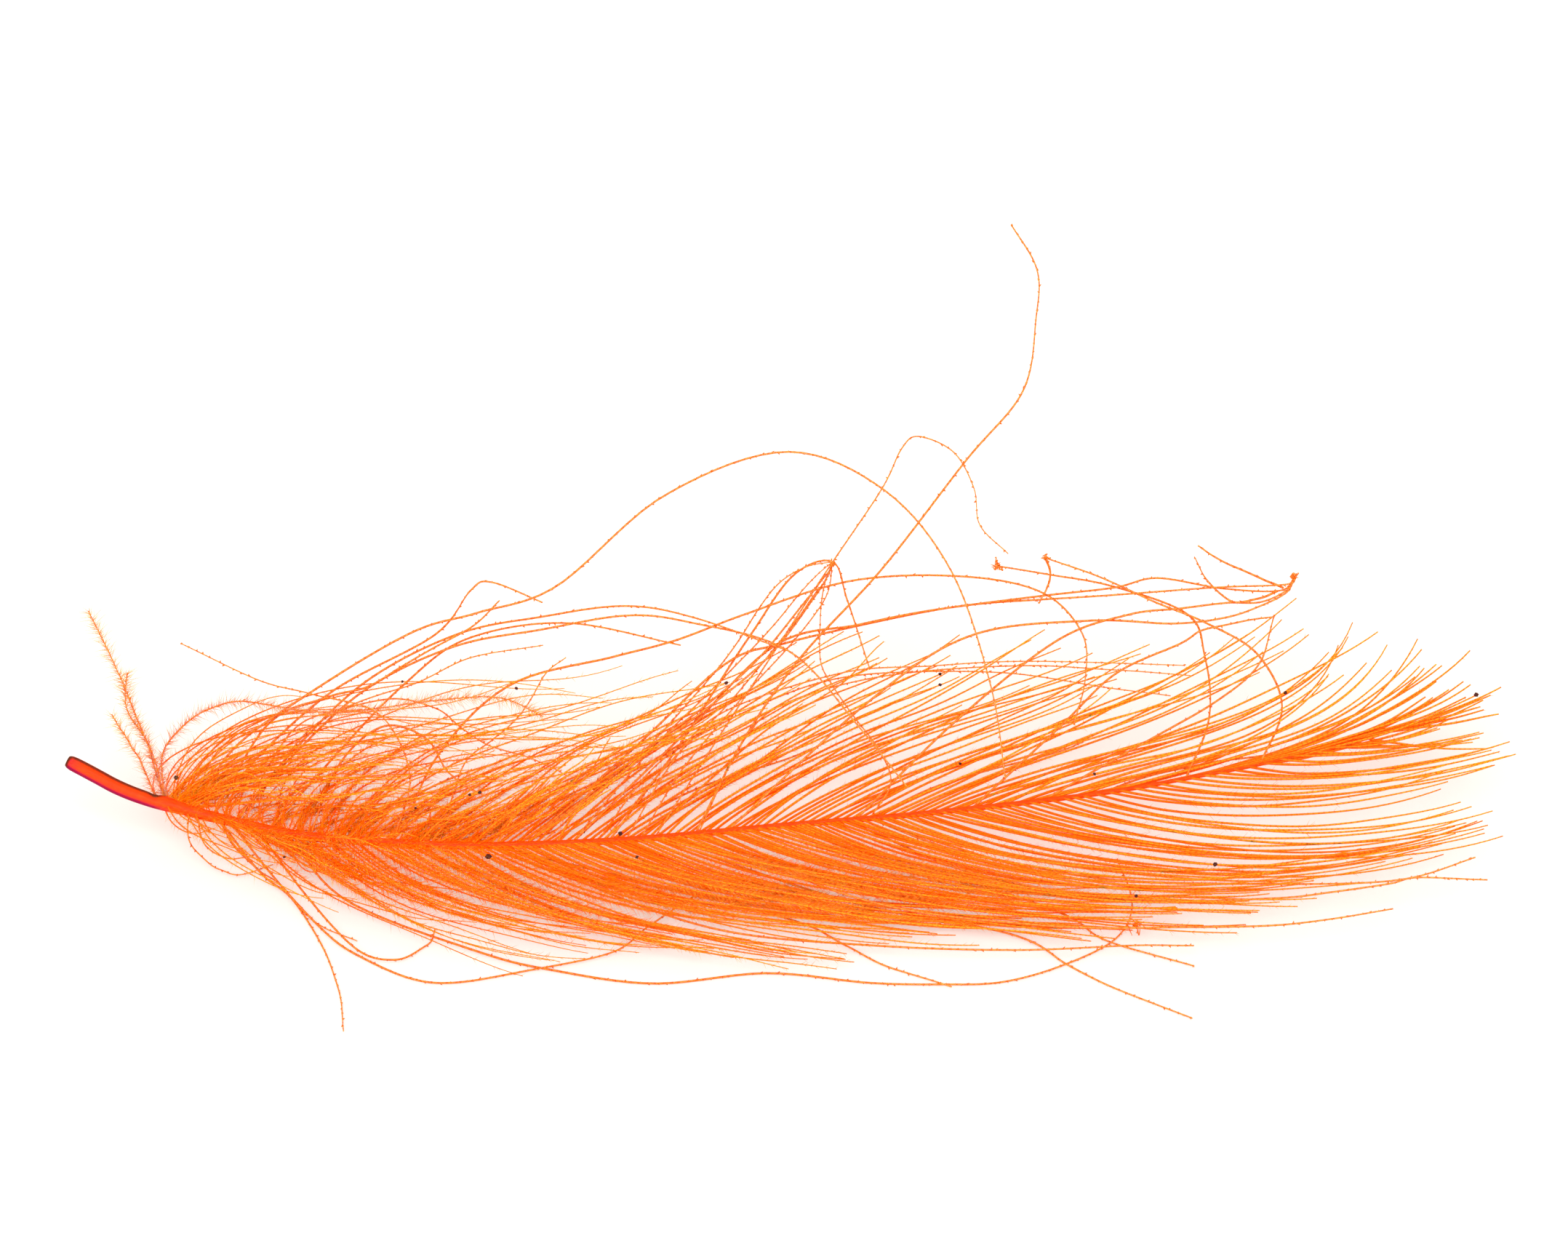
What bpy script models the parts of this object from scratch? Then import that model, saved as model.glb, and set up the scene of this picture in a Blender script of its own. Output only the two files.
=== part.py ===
"""Cul de canard feather, one natural piece grown as one body, lying on a flat surface.

Units are metres and +Z is up. The tables below are in millimetres and degrees.
The quill end is at -X, the tip at +X, the far vane at +Y and the near vane at -Y.
The feather is a tapered shaft, two vanes of fused locks of barbs, four props that bend down
under the far vane, and loose filaments. A Boolean union joins all of them into one closed solid.
"""
import bpy
import numpy as np

MM = 0.001

# Where the middle of the finished box's underside lies in the coordinates of the tables, mm
ORIGIN = (0.137, 3.827, 0.0)

# Shaft stations from the cut quill end to the tip: x, y, z and radius
SHAFT = (
    (-24.85, 2.35, 3.00, 0.185),
    (-24.70, 2.30, 2.96, 0.240),
    (-23.30, 1.75, 2.60, 0.255),
    (-22.00, 1.33, 2.22, 0.250),
    (-21.50, 1.20, 2.10, 0.262),
    (-20.90, 1.06, 2.00, 0.225),
    (-19.90, 0.82, 1.85, 0.195),
    (-17.00, 0.29, 1.50, 0.165),
    (-14.10, 0.08, 1.35, 0.150),
    (-10.40, 0.00, 1.25, 0.135),
    (-5.50, 0.32, 1.20, 0.122),
    (0.00, 1.02, 1.20, 0.112),
    (5.10, 1.52, 1.32, 0.102),
    (10.90, 2.18, 1.60, 0.088),
    (14.60, 2.79, 1.90, 0.075),
    (17.10, 3.25, 2.15, 0.065),
    (20.00, 4.10, 2.50, 0.055),
)
SHAFT_SIDES = 8
SHAFT_RINGS = 30

# Vane stations along the shaft: x of the root, length of the barb, its angle from the shaft at the
# root and at the tip, how early it bends, how far its tip lies above its root, and the height and
# the angle that a curl at the very tip adds
FAR_VANE = (
    (-21.5, 15.4, 140, -3, 3.7, 2.8, 0.0, 0),
    (-20.5, 16.0, 134, -2, 4.1, 2.8, 0.0, 0),
    (-18.5, 15.9, 116, -2, 3.7, 2.6, 0.0, 0),
    (-16.0, 14.4, 85, -6, 2.1, 2.4, 0.1, 0),
    (-13.6, 13.0, 56, 8, 2.2, 2.2, 0.3, 0),
    (-11.9, 12.5, 44, 16, 1.6, 2.0, 0.5, 0),
    (-10.0, 12.9, 44, 20, 2.0, 2.0, 1.0, 0),
    (-7.2, 13.6, 42, 14, 1.3, 1.8, 0.4, 0),
    (-4.4, 14.9, 43, 13, 2.3, 1.8, 0.7, 0),
    (-3.0, 16.0, 36, -4, 1.4, 1.5, 0.8, 10),
    (-1.0, 16.0, 28, -2, 1.4, 1.5, 0.8, 8),
    (1.0, 16.0, 23, 5, 2.2, 1.5, 1.4, 18),
    (4.0, 16.9, 20, 3, 3.0, 1.5, 1.6, 44),
    (7.0, 14.4, 24, -9, 3.0, 1.5, 1.6, 74),
    (9.2, 13.2, 15, -7, 2.6, 1.5, 1.6, 74),
    (11.4, 11.5, 6, 2, 1.6, 1.4, 1.6, 38),
    (13.0, 10.2, 3, 5, 1.4, 1.4, 1.5, 27),
    (14.8, 9.6, 6, 2, 1.5, 1.2, 0.9, 14),
    (16.2, 8.4, 2, 5, 1.5, 1.1, 0.6, 0),
    (17.8, 7.0, 0, -8, 1.5, 0.9, 0.3, 0),
    (19.9, 5.0, 0, -14, 1.5, 0.6, 0.1, 0),
)
NEAR_VANE = (
    (-21.3, 5.6, 64, -14, 1.6, -0.9, 0.1, 0),
    (-20.0, 7.5, 48, 8, 1.4, -0.9, 0.0, 0),
    (-18.6, 11.5, 49, 5, 2.0, -0.9, 0.0, 0),
    (-16.4, 11.6, 50, 5, 1.9, -0.9, 0.2, 0),
    (-13.5, 12.8, 40, 6, 1.8, -0.8, 0.2, 0),
    (-8.0, 17.7, 36, 5, 1.9, -0.7, 0.0, 0),
    (-3.0, 17.7, 37, 11, 1.8, -0.6, 0.5, 0),
    (0.0, 18.0, 35, 10, 1.8, -0.5, 0.7, 0),
    (3.0, 17.6, 37, 0, 1.5, -0.3, 0.7, 0),
    (5.7, 18.3, 26, 10, 1.4, -0.2, 1.2, -24),
    (8.0, 16.1, 29, 2, 1.5, -0.1, 0.9, -10),
    (10.0, 14.5, 30, 1, 1.5, 0.0, 0.8, -8),
    (13.0, 12.1, 36, -7, 1.8, 0.1, 0.7, 0),
    (15.2, 10.0, 33, -5, 2.1, 0.2, 0.4, 0),
    (17.2, 7.4, 36, -4, 2.0, 0.3, 0.1, 0),
    (19.9, 4.7, 37, 20, 1.6, 0.4, 0.2, 0),
)
LOCKS = 27
FIRST_ROOT = -21.3
LAST_ROOT = 19.7
RISE_POWER = 1.4
CURL_POWER = 4

# How much one lock differs from the next: share of the length, and degrees of the tip's angle
LENGTH_SPREAD = 0.05
REACH_SPREAD = 3

# Steps along a lock before it is cut into rings, the distance over which the shaft's heading is
# taken, and how much closer the rings stand to the root on a lock that leaves the shaft forwards and
# on one that leaves it at more than BACKWARD degrees
FINE_STEPS = 160
HEADING_REACH = 0.3
RING_POWER = 1.15
BACKWARD_RING_POWER = 1.7
BACKWARD = 90

# Section of a lock: a flat lozenge, widest a quarter of the way out
LOCK_SIDES = 4
LOCK_RINGS = 8
LOCK_WIDEST = 0.25
LOCK_MOST_WIDE = 0.95
LOCK_LEAST_WIDE = 0.42
LOCK_THICK = 0.30
TIP_WIDE = 0.16
TIP_THICK = 0.12
SHELF = 0.17
SHELF_START = 0.2
SHELF_FADE = 0.6
ROOT_FILL = 1.15

# Props: far barbs that bend down to the surface under the far vane, x, y, z
PROPS = (
    ((-15.0, 0.16, 1.40), (-13.6, 2.0, 1.05), (-11.8, 3.9, 0.55), (-10.0, 5.2, 0.10), (-8.8, 5.9, 0.09)),
    ((-6.0, 0.26, 1.20), (-4.2, 2.2, 1.05), (-2.2, 3.9, 0.55), (-0.2, 5.2, 0.10), (1.0, 5.9, 0.09)),
    ((3.0, 1.32, 1.26), (5.0, 2.9, 1.05), (7.2, 4.4, 0.55), (9.3, 5.6, 0.10), (10.5, 6.2, 0.09)),
    ((11.0, 2.20, 1.60), (12.9, 3.5, 1.20), (15.0, 4.7, 0.60), (17.0, 5.6, 0.10), (18.2, 6.1, 0.09)),
)
PROP_WIDE = 0.26

# Loose filaments from the root outward, x, y, z
FILAMENTS = {
    "base_long": ((-21.8, 1.27, 2.15), (-22.5, 2.7, 2.9), (-23.4, 3.5, 4.2)),
    "base_tall": (
        (-21.5, 1.20, 2.10), (-22.1, 2.7, 3.3), (-22.8, 3.7, 4.9), (-23.1, 4.3, 5.3), (-24.2, 5.9, 6.9),
    ),
    "back": (
        (-13.6, 0.08, 1.33), (-13.0, 2.1, 2.6), (-14.1, 3.5, 4.2), (-16.4, 4.1, 4.6),
        (-18.3, 4.4, 5.0), (-21.0, 5.2, 6.0),
    ),
    "arch": (
        (-20.5, 0.97, 1.94), (-19.2, 3.4, 2.6), (-16.6, 4.9, 3.8), (-13.0, 6.5, 5.2), (-10.7, 6.5, 6.2),
        (-7.9, 6.5, 7.5), (-4.2, 8.7, 9.7), (0.0, 9.8, 10.8), (3.4, 8.9, 9.9), (5.8, 6.9, 7.9),
        (7.2, 4.2, 4.9), (7.7, 1.5, 3.0),
    ),
    "crook": (
        (-19.9, 0.82, 1.85), (-18.2, 3.4, 2.4), (-15.7, 5.3, 3.6), (-12.2, 6.6, 5.0),
        (-10.9, 6.4, 7.4), (-10.2, 6.6, 7.6), (-8.4, 6.1, 7.1),
    ),
    "wave": (
        (-19.1, 0.66, 1.75), (-17.3, 3.1, 2.3), (-14.7, 5.4, 3.4), (-11.6, 6.4, 4.6), (-8.6, 6.7, 5.2),
        (-5.6, 6.8, 5.8), (-3.2, 6.6, 5.6), (0.2, 6.0, 4.8), (2.6, 3.5, 3.6), (4.3, 1.2, 2.9),
    ),
    "wave_two": (
        (-17.9, 0.44, 1.60), (-16.0, 2.9, 2.2), (-13.4, 5.8, 3.2), (-11.1, 7.0, 4.4),
        (-7.5, 6.8, 5.4), (-3.6, 6.3, 4.8),
    ),
    "ridge": (
        (-13.4, 0.06, 1.32), (-12.1, 3.2, 2.4), (-9.6, 5.5, 3.6), (-6.0, 6.1, 4.4), (-3.8, 6.4, 5.0),
        (-1.3, 6.9, 5.8), (2.4, 7.3, 7.0), (6.2, 7.3, 7.2), (9.0, 7.1, 6.6), (10.4, 6.3, 5.4),
        (10.5, 5.3, 4.1), (10.1, 3.9, 3.3),
    ),
    "tall": (
        (-3.1, 0.60, 1.20), (-1.4, 3.9, 2.6), (0.6, 5.5, 5.0), (3.4, 6.9, 7.9), (6.3, 9.6, 10.6),
        (8.3, 11.3, 12.3), (8.8, 13.1, 14.1), (8.8, 14.3, 15.3), (7.9, 15.4, 16.4),
    ),
    "pale": (
        (-4.5, 0.44, 1.20), (-1.9, 4.6, 2.8), (0.5, 6.6, 6.0), (1.7, 7.1, 8.1), (3.4, 8.9, 9.9),
        (4.1, 9.9, 10.9), (4.7, 10.2, 11.2), (5.9, 9.8, 10.8), (6.6, 8.9, 9.9), (6.8, 8.0, 9.0),
        (7.8, 7.3, 8.3),
    ),
    "knot": (
        (-6.1, 0.26, 1.20), (-3.5, 4.1, 2.4), (-1.2, 6.9, 4.6), (0.3, 7.9, 6.6), (1.7, 7.1, 8.1),
        (2.2, 7.2, 6.1), (3.0, 5.7, 4.2),
    ),
    "knot_two": ((-9.0, 0.06, 1.23), (-5.1, 3.4, 2.2), (-1.3, 5.9, 4.0), (0.8, 7.4, 6.0), (1.6, 7.1, 7.7)),
    "curl_back": (
        (14.0, 2.68, 1.85), (14.8, 4.5, 2.9), (14.7, 6.1, 4.4), (14.1, 6.7, 5.9), (11.5, 7.3, 6.7),
        (9.2, 7.6, 7.0), (7.4, 7.0, 8.0),
    ),
    "curl_high": (
        (16.6, 3.15, 2.10), (17.4, 4.9, 3.2), (16.5, 5.9, 4.8), (14.7, 6.5, 5.7), (12.7, 6.9, 6.5),
        (10.9, 7.3, 7.2), (9.1, 7.2, 8.2),
    ),
    "hook": (
        (-7.4, 0.16, 1.21), (-3.5, 4.2, 2.5), (-0.3, 6.5, 4.6), (2.6, 6.5, 5.6), (5.1, 6.6, 6.2),
        (9.0, 7.0, 6.5), (11.5, 7.1, 6.8), (13.0, 6.7, 7.7), (15.3, 7.0, 6.9), (17.3, 6.9, 6.9),
        (17.8, 6.8, 7.8),
    ),
    "hook_top": ((17.4, 6.92, 7.0), (16.6, 7.2, 7.2), (15.3, 7.4, 7.8), (14.4, 7.5, 8.5)),
    "hook_mid": ((17.2, 6.90, 6.88), (16.5, 6.7, 6.7), (15.6, 6.7, 6.6), (14.8, 7.3, 6.9), (14.3, 7.2, 8.2)),
    "spur": ((9.0, 1.95, 1.48), (12.8, 4.1, 2.4), (15.3, 5.1, 3.4), (16.6, 5.8, 4.5), (17.1, 6.8, 5.8)),
    "foot": (
        (-19.7, 0.78, 1.83), (-18.2, -0.6, 0.5), (-17.1, -1.6, 0.2), (-16.0, -3.8, 0.09),
        (-15.4, -5.8, 0.09), (-15.2, -7.8, 0.09),
    ),
    "loop_small": ((-20.7, 1.01, 1.97), (-20.7, 0.5, 0.9), (-19.9, 0.0, 0.3), (-19.0, -0.4, 0.2), (-17.8, 0.2, 0.1)),
    "sweep": (
        (-19.3, 0.70, 1.78), (-17.5, -1.2, 0.5), (-15.8, -3.3, 0.2), (-14.6, -4.3, 0.1), (-12.9, -5.3, 0.1),
        (-11.4, -5.5, 0.1), (-9.1, -5.0, 0.1), (-6.0, -4.2, 0.2), (-4.7, -3.0, 0.3), (-3.0, -1.4, 0.3),
    ),
    "loop_mid": (
        (-18.4, 0.53, 1.66), (-16.6, -1.8, 0.6), (-14.8, -4.1, 0.3), (-13.4, -4.5, 0.2),
        (-12.4, -3.7, 0.1), (-12.1, -2.9, 0.1),
    ),
    "hem": (
        (-17.3, 0.34, 1.53), (-15.2, -2.1, 0.7), (-10.6, -4.1, 0.2), (-8.0, -4.9, 0.1), (-4.5, -5.5, 0.1),
        (-0.6, -5.0, 0.1), (2.9, -5.5, 0.1), (5.4, -5.6, 0.1), (7.5, -5.5, 0.1), (9.6, -4.7, 0.1),
        (11.5, -3.4, 0.1), (12.1, -1.9, 0.3), (11.6, 0.1, 0.5),
    ),
    "trail": (
        (-4.5, 0.44, 1.20), (2.1, -2.1, 0.7), (7.8, -3.3, 0.25), (9.8, -4.6, 0.1), (11.3, -5.7, 0.1),
        (14.1, -7.2, 0.1),
    ),
    "trail_two": ((0.4, 1.05, 1.20), (5.8, -0.9, 0.7), (9.7, -2.4, 0.3), (11.2, -3.5, 0.1), (14.2, -4.7, 0.1)),
    "trail_three": (
        (-10.2, 0.02, 1.25), (-3.8, -1.6, 0.7), (0.4, -2.8, 0.4), (2.1, -3.8, 0.2), (3.8, -4.8, 0.1),
        (5.8, -5.7, 0.1),
    ),
}
FILAMENT_WIDE = 0.18
FILAMENT_SIDES = 4
RINGS_PER_STATION = 2


def clear_scene():
    """Removes every object that Blender starts with."""
    for thing in list(bpy.data.objects):
        bpy.data.objects.remove(thing, do_unlink=True)


def through(points, count):
    """A Catmull-Rom curve through the points, at count even steps of its parameter."""
    known = np.asarray(points, float)
    ends = 2 * known[0] - known[1], 2 * known[-1] - known[-2]
    known = np.vstack([ends[0], known, ends[1]])
    step = np.linspace(0, len(known) - 3, count)
    first = np.minimum(step.astype(int), len(known) - 4)
    part = (step - first)[:, None]
    a, b, c, d = (known[first + k] for k in range(4))
    bend = (2 * a - 5 * b + 4 * c - d) * part + (3 * b - a - 3 * c + d) * part**2
    return 0.5 * (2 * b + (c - a + bend) * part)


def keyed(table, x):
    """Each column of the table after the first, interpolated at x in its first column."""
    known = np.asarray(table, float)
    return [np.interp(x, known[:, 0], known[:, k]) for k in range(1, known.shape[1])]


def shaft_at(x):
    """Centre and radius of the shaft at x, on the same curve that the solid follows."""
    return np.array([x, *keyed(through(SHAFT, 400), x)])


def even_share(index, salt):
    """A fixed share between -1 and 1 for each lock: the fraction of a large sine."""
    return 2 * np.modf(abs(np.sin(index * 12.9898 + salt * 78.233)) * 43758.5453)[0] - 1


def lock_path(side, table, index):
    """Centreline of one lock. It leaves the shaft at the first angle, turns to the second, rises, and
    curls at the tip. Locks lie a little above and below each other in turn."""
    root_x = FIRST_ROOT + (LAST_ROOT - FIRST_ROOT) * index / (LOCKS - 1)
    length, leave, reach, bend, rise, curl, turn = keyed(table, root_x)
    length = length * (1 + LENGTH_SPREAD * even_share(index, side))
    reach = reach + REACH_SPREAD * even_share(index, side + 5)
    root = shaft_at(root_x)
    ahead = shaft_at(root_x + HEADING_REACH) - shaft_at(root_x - HEADING_REACH)
    along = ahead[:2] / np.linalg.norm(ahead[:2])
    out = np.array([-along[1], along[0]]) * side
    fine = np.linspace(0, 1, FINE_STEPS + 1)
    angle = np.radians(reach + (leave - reach) * (1 - fine) ** bend + turn * fine**CURL_POWER)
    middle = (angle[1:] + angle[:-1]) / 2
    step = length / FINE_STEPS
    forward = np.append(0, np.cumsum(np.cos(middle) * step))
    outward = np.append(0, np.cumsum(np.sin(middle) * step))
    plan = root[:2] + forward[:, None] * along + outward[:, None] * out
    shelf = SHELF * (1 if index % 2 else -1) * np.minimum(fine / SHELF_START, 1) * (1 - SHELF_FADE * fine)
    height = root[2] + rise * fine**RISE_POWER + curl * fine**CURL_POWER + shelf
    power = BACKWARD_RING_POWER if leave > BACKWARD else RING_POWER
    stations = np.linspace(0, 1, LOCK_RINGS) ** power
    path = np.stack([np.interp(stations, fine, v) for v in (plan[:, 0], plan[:, 1], height)], 1)
    return path, stations, root[3], np.sin(np.radians(leave))


def lock_section(stations, root_radius, steepness):
    """Width and thickness of a lock at each station, small enough at the root to start inside the shaft."""
    spacing = (LAST_ROOT - FIRST_ROOT) / (LOCKS - 1)
    most = np.clip(spacing * steepness, LOCK_LEAST_WIDE, LOCK_MOST_WIDE)
    grow = np.clip(stations / LOCK_WIDEST, 0, 1)
    taper = 1 - np.clip((stations - LOCK_WIDEST) / (1 - LOCK_WIDEST), 0, 1) ** 2
    start = ROOT_FILL * root_radius
    swell = grow * grow * (3 - 2 * grow)
    wide = start + (TIP_WIDE + (most - TIP_WIDE) * taper - start) * swell
    thick = start + (TIP_THICK + (LOCK_THICK - TIP_THICK) * taper - start) * swell
    return wide, thick


def tube(path, wide, thick, sides):
    """A closed tube with an elliptic section of the given number of sides around the path, in metres."""
    path = np.asarray(path, float)
    heading = np.gradient(path, axis=0)
    heading /= np.linalg.norm(heading, axis=1, keepdims=True)
    across = np.cross(heading, (0, 0, 1.0))
    across /= np.linalg.norm(across, axis=1, keepdims=True)
    upward = np.cross(across, heading)
    turn = np.arange(sides) * 2 * np.pi / sides
    wide = np.broadcast_to(wide, len(path))
    thick = np.broadcast_to(thick, len(path))
    sideways = across[:, None, :] * (wide[:, None] / 2 * np.cos(turn))[..., None]
    updown = upward[:, None, :] * (thick[:, None] / 2 * np.sin(turn))[..., None]
    points = (path[:, None, :] + sideways + updown - np.array(ORIGIN)) * MM
    ring = np.arange(len(path) - 1)[:, None] * sides
    here = np.arange(sides)
    after = (here + 1) % sides
    walls = np.stack([ring + here, ring + sides + here, ring + sides + after, ring + after], -1)
    last = (len(path) - 1) * sides
    faces = [tuple(int(v) for v in f) for f in walls.reshape(-1, 4)]
    faces.append(tuple(int(v) for v in here))
    faces.append(tuple(int(v) + last for v in here[::-1]))
    return points.reshape(-1, 3), faces


def add_object(name, points, faces):
    """Makes a mesh object from points and faces."""
    mesh = bpy.data.meshes.new(name)
    mesh.from_pydata(points.tolist(), [], faces)
    mesh.validate()
    thing = bpy.data.objects.new(name, mesh)
    return thing


def make_shaft():
    """The quill and rachis in one tapered bar with a rounded closed end at the cut quill."""
    path = through(SHAFT, SHAFT_RINGS)
    points, faces = tube(path[:, :3], 2 * path[:, 3], 2 * path[:, 3], SHAFT_SIDES)
    return add_object("feather", points, faces)


def make_locks(side, table, name):
    """The fused locks of one vane."""
    made = []
    for index in range(LOCKS):
        path, stations, radius, steepness = lock_path(side, table, index)
        wide, thick = lock_section(stations, radius, steepness)
        points, faces = tube(path, wide, thick, LOCK_SIDES)
        made.append(add_object(f"{name}_{index:02d}", points, faces))
    return made


def make_strands(table, wide, name):
    """Thin strands through the stations of each row. None dips under the surface at z = 0."""
    made = []
    for key, stations in table:
        path = through(stations, (len(stations) - 1) * RINGS_PER_STATION + 1)
        path[:, 2] = np.maximum(path[:, 2], wide / 2)
        points, faces = tube(path, wide, wide, FILAMENT_SIDES)
        made.append(add_object(f"{name}_{key}", points, faces))
    return made


def join_all(body, parts):
    """Joins every part to the body with one exact Boolean union and hides the parts."""
    group = bpy.data.collections.new("joined_parts")
    bpy.context.scene.collection.children.link(group)
    for part in parts:
        group.objects.link(part)
        part.hide_render = True
        part.display_type = "WIRE"
    union = body.modifiers.new("union", "BOOLEAN")
    union.operation = "UNION"
    union.operand_type = "COLLECTION"
    union.collection = group
    union.solver = "EXACT"


def keratin():
    """Dyed keratin, orange and slightly glossy."""
    made = bpy.data.materials.new("dyed_keratin")
    made.use_nodes = True
    shader = made.node_tree.nodes["Principled BSDF"]
    shader.inputs["Base Color"].default_value = (0.94, 0.18, 0.015, 1.0)
    shader.inputs["Roughness"].default_value = 0.55
    return made


def main():
    clear_scene()
    body = make_shaft()
    bpy.context.scene.collection.objects.link(body)
    parts = make_locks(1, FAR_VANE, "far")
    parts += make_locks(-1, NEAR_VANE, "near")
    parts += make_strands([(str(k), row) for k, row in enumerate(PROPS)], PROP_WIDE, "prop")
    parts += make_strands(FILAMENTS.items(), FILAMENT_WIDE, "loose")
    join_all(body, parts)
    body.data.materials.append(keratin())


main()
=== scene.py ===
import bpy
import numpy as np
from bpy.props import FloatProperty, FloatVectorProperty, IntProperty, PointerProperty
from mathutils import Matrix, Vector


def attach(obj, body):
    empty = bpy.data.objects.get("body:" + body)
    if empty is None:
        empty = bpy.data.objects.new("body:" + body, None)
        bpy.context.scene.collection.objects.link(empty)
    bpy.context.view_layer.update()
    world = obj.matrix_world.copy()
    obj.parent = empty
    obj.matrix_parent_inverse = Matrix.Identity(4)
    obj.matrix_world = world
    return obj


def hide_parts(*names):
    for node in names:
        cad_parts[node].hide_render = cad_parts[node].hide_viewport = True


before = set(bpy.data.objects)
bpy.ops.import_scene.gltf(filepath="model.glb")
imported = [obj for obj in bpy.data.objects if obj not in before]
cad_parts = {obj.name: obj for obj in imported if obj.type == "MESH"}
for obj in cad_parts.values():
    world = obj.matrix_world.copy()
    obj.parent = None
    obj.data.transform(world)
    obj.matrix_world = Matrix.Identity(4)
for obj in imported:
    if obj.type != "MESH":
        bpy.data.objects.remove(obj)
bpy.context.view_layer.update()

bl_info = {
    "name": "Cul de canard feather",
    "version": (1, 0, 0),
    "blender": (4, 5, 0),
    "location": "View3D > Sidebar > Feather",
    "description": "Builds a small dyed down feather barb by barb around its packed solid",
    "category": "Object",
}

MM = 0.001

# Where the middle of the box's underside lies in the coordinates of the tables, mm, as in the solid
ORIGIN = np.array((0.137, 3.827, 0.0))

# Shaft stations from the cut quill end to the tip: x, y, z and radius
SHAFT = (
    (-24.94, 2.39, 3.02, 0.258),
    (-24.37, 2.14, 2.86, 0.262),
    (-23.80, 1.88, 2.69, 0.262),
    (-23.30, 1.66, 2.53, 0.262),
    (-22.70, 1.46, 2.36, 0.259),
    (-22.00, 1.29, 2.19, 0.256),
    (-21.50, 1.20, 2.10, 0.262),
    (-20.90, 1.06, 2.00, 0.225),
    (-19.90, 0.82, 1.85, 0.195),
    (-17.00, 0.29, 1.50, 0.165),
    (-14.10, 0.08, 1.35, 0.150),
    (-10.40, 0.00, 1.25, 0.135),
    (-5.50, 0.32, 1.20, 0.122),
    (0.00, 1.02, 1.20, 0.112),
    (5.10, 1.52, 1.32, 0.102),
    (10.90, 2.18, 1.60, 0.088),
    (14.60, 2.79, 1.90, 0.075),
    (17.10, 3.25, 2.15, 0.065),
    (20.00, 4.10, 2.50, 0.055),
)
SHAFT_STEPS = 400

# Vane stations along the shaft, those of the solid but for a smoother run in the middle of the far
# vane: x of the root, length of the barb, its angle from the shaft at the root and at the tip, how
# early it bends, how far its tip lies above its root, and the height and the angle that a curl at the
# very tip adds
FAR_VANE = (
    (-21.5, 15.4, 140, -3, 3.7, 2.8, 0.0, 0),
    (-20.5, 16.0, 134, -2, 4.1, 2.8, 0.0, 0),
    (-18.5, 15.9, 116, -2, 3.7, 2.6, 0.0, 0),
    (-16.0, 14.4, 85, -6, 2.1, 2.4, 0.1, 0),
    (-13.6, 13.0, 56, 8, 2.2, 2.2, 0.3, 0),
    (-11.9, 12.5, 44, 16, 1.6, 2.0, 0.5, 0),
    (-10.0, 12.9, 44, 20, 2.0, 2.0, 1.0, 0),
    (-7.2, 13.6, 42, 14, 1.3, 1.8, 0.4, 0),
    (-4.4, 14.9, 43, 13, 2.3, 1.8, 0.7, 0),
    (-3.0, 15.4, 40, 1, 1.5, 1.6, 0.7, 4),
    (-1.0, 15.2, 37, 1, 1.5, 1.5, 0.8, 6),
    (1.0, 15.2, 33, 3, 1.7, 1.5, 1.3, 11),
    (4.0, 15.6, 28, 2, 2.1, 1.5, 1.6, 28),
    (7.0, 14.3, 26, -4, 2.5, 1.5, 1.6, 54),
    (9.2, 13.2, 17, -2, 2.4, 1.5, 1.6, 62),
    (11.4, 11.5, 6, 2, 1.6, 1.4, 1.6, 38),
    (13.0, 10.2, 3, 5, 1.4, 1.4, 1.5, 27),
    (14.8, 9.6, 6, 2, 1.5, 1.2, 0.9, 14),
    (16.2, 8.4, 2, 5, 1.5, 1.1, 0.6, 0),
    (17.8, 7.0, 0, -8, 1.5, 0.9, 0.3, 0),
    (19.9, 5.0, 0, -14, 1.5, 0.6, 0.1, 0),
)
NEAR_VANE = (
    (-21.3, 5.6, 64, -14, 1.6, -0.9, 0.1, 0),
    (-20.0, 7.5, 48, 8, 1.4, -0.9, 0.0, 0),
    (-18.6, 11.5, 49, 5, 2.0, -0.9, 0.0, 0),
    (-16.4, 11.6, 50, 5, 1.9, -0.9, 0.2, 0),
    (-13.5, 12.8, 40, 6, 1.8, -0.8, 0.2, 0),
    (-8.0, 17.7, 36, 5, 1.9, -0.7, 0.0, 0),
    (-3.0, 17.7, 37, 11, 1.8, -0.6, 0.5, 0),
    (0.0, 18.0, 35, 10, 1.8, -0.5, 0.7, 0),
    (3.0, 17.6, 37, 0, 1.5, -0.3, 0.7, 0),
    (5.7, 18.3, 26, 10, 1.4, -0.2, 1.2, -24),
    (8.0, 16.1, 29, 2, 1.5, -0.1, 0.9, -10),
    (10.0, 14.5, 30, 1, 1.5, 0.0, 0.8, -8),
    (13.0, 12.1, 36, -7, 1.8, 0.1, 0.7, 0),
    (15.2, 10.0, 33, -5, 2.1, 0.2, 0.4, 0),
    (17.2, 7.4, 36, -4, 2.0, 0.3, 0.1, 0),
    (19.9, 4.7, 37, 20, 1.6, 0.4, 0.2, 0),
)
# Locks of the solid, whose lengths and angles the barbs follow: their number, and the x of the first
# and of the last root
LOCKS = 27
FIRST_ROOT = -21.3
LAST_ROOT = 19.7
LOCK_SPACING = (LAST_ROOT - FIRST_ROOT) / (LOCKS - 1)
# By what share their lengths differ, by how many degrees the angles at their tips do, and by how many
# mm every other lock lies lower
LENGTH_SPREAD = 0.05
REACH_SPREAD = 3
SHELF = 0.17
# Powers of the share of the length by which a barb rises and curls
RISE_POWER = 1.4
CURL_POWER = 4

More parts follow.
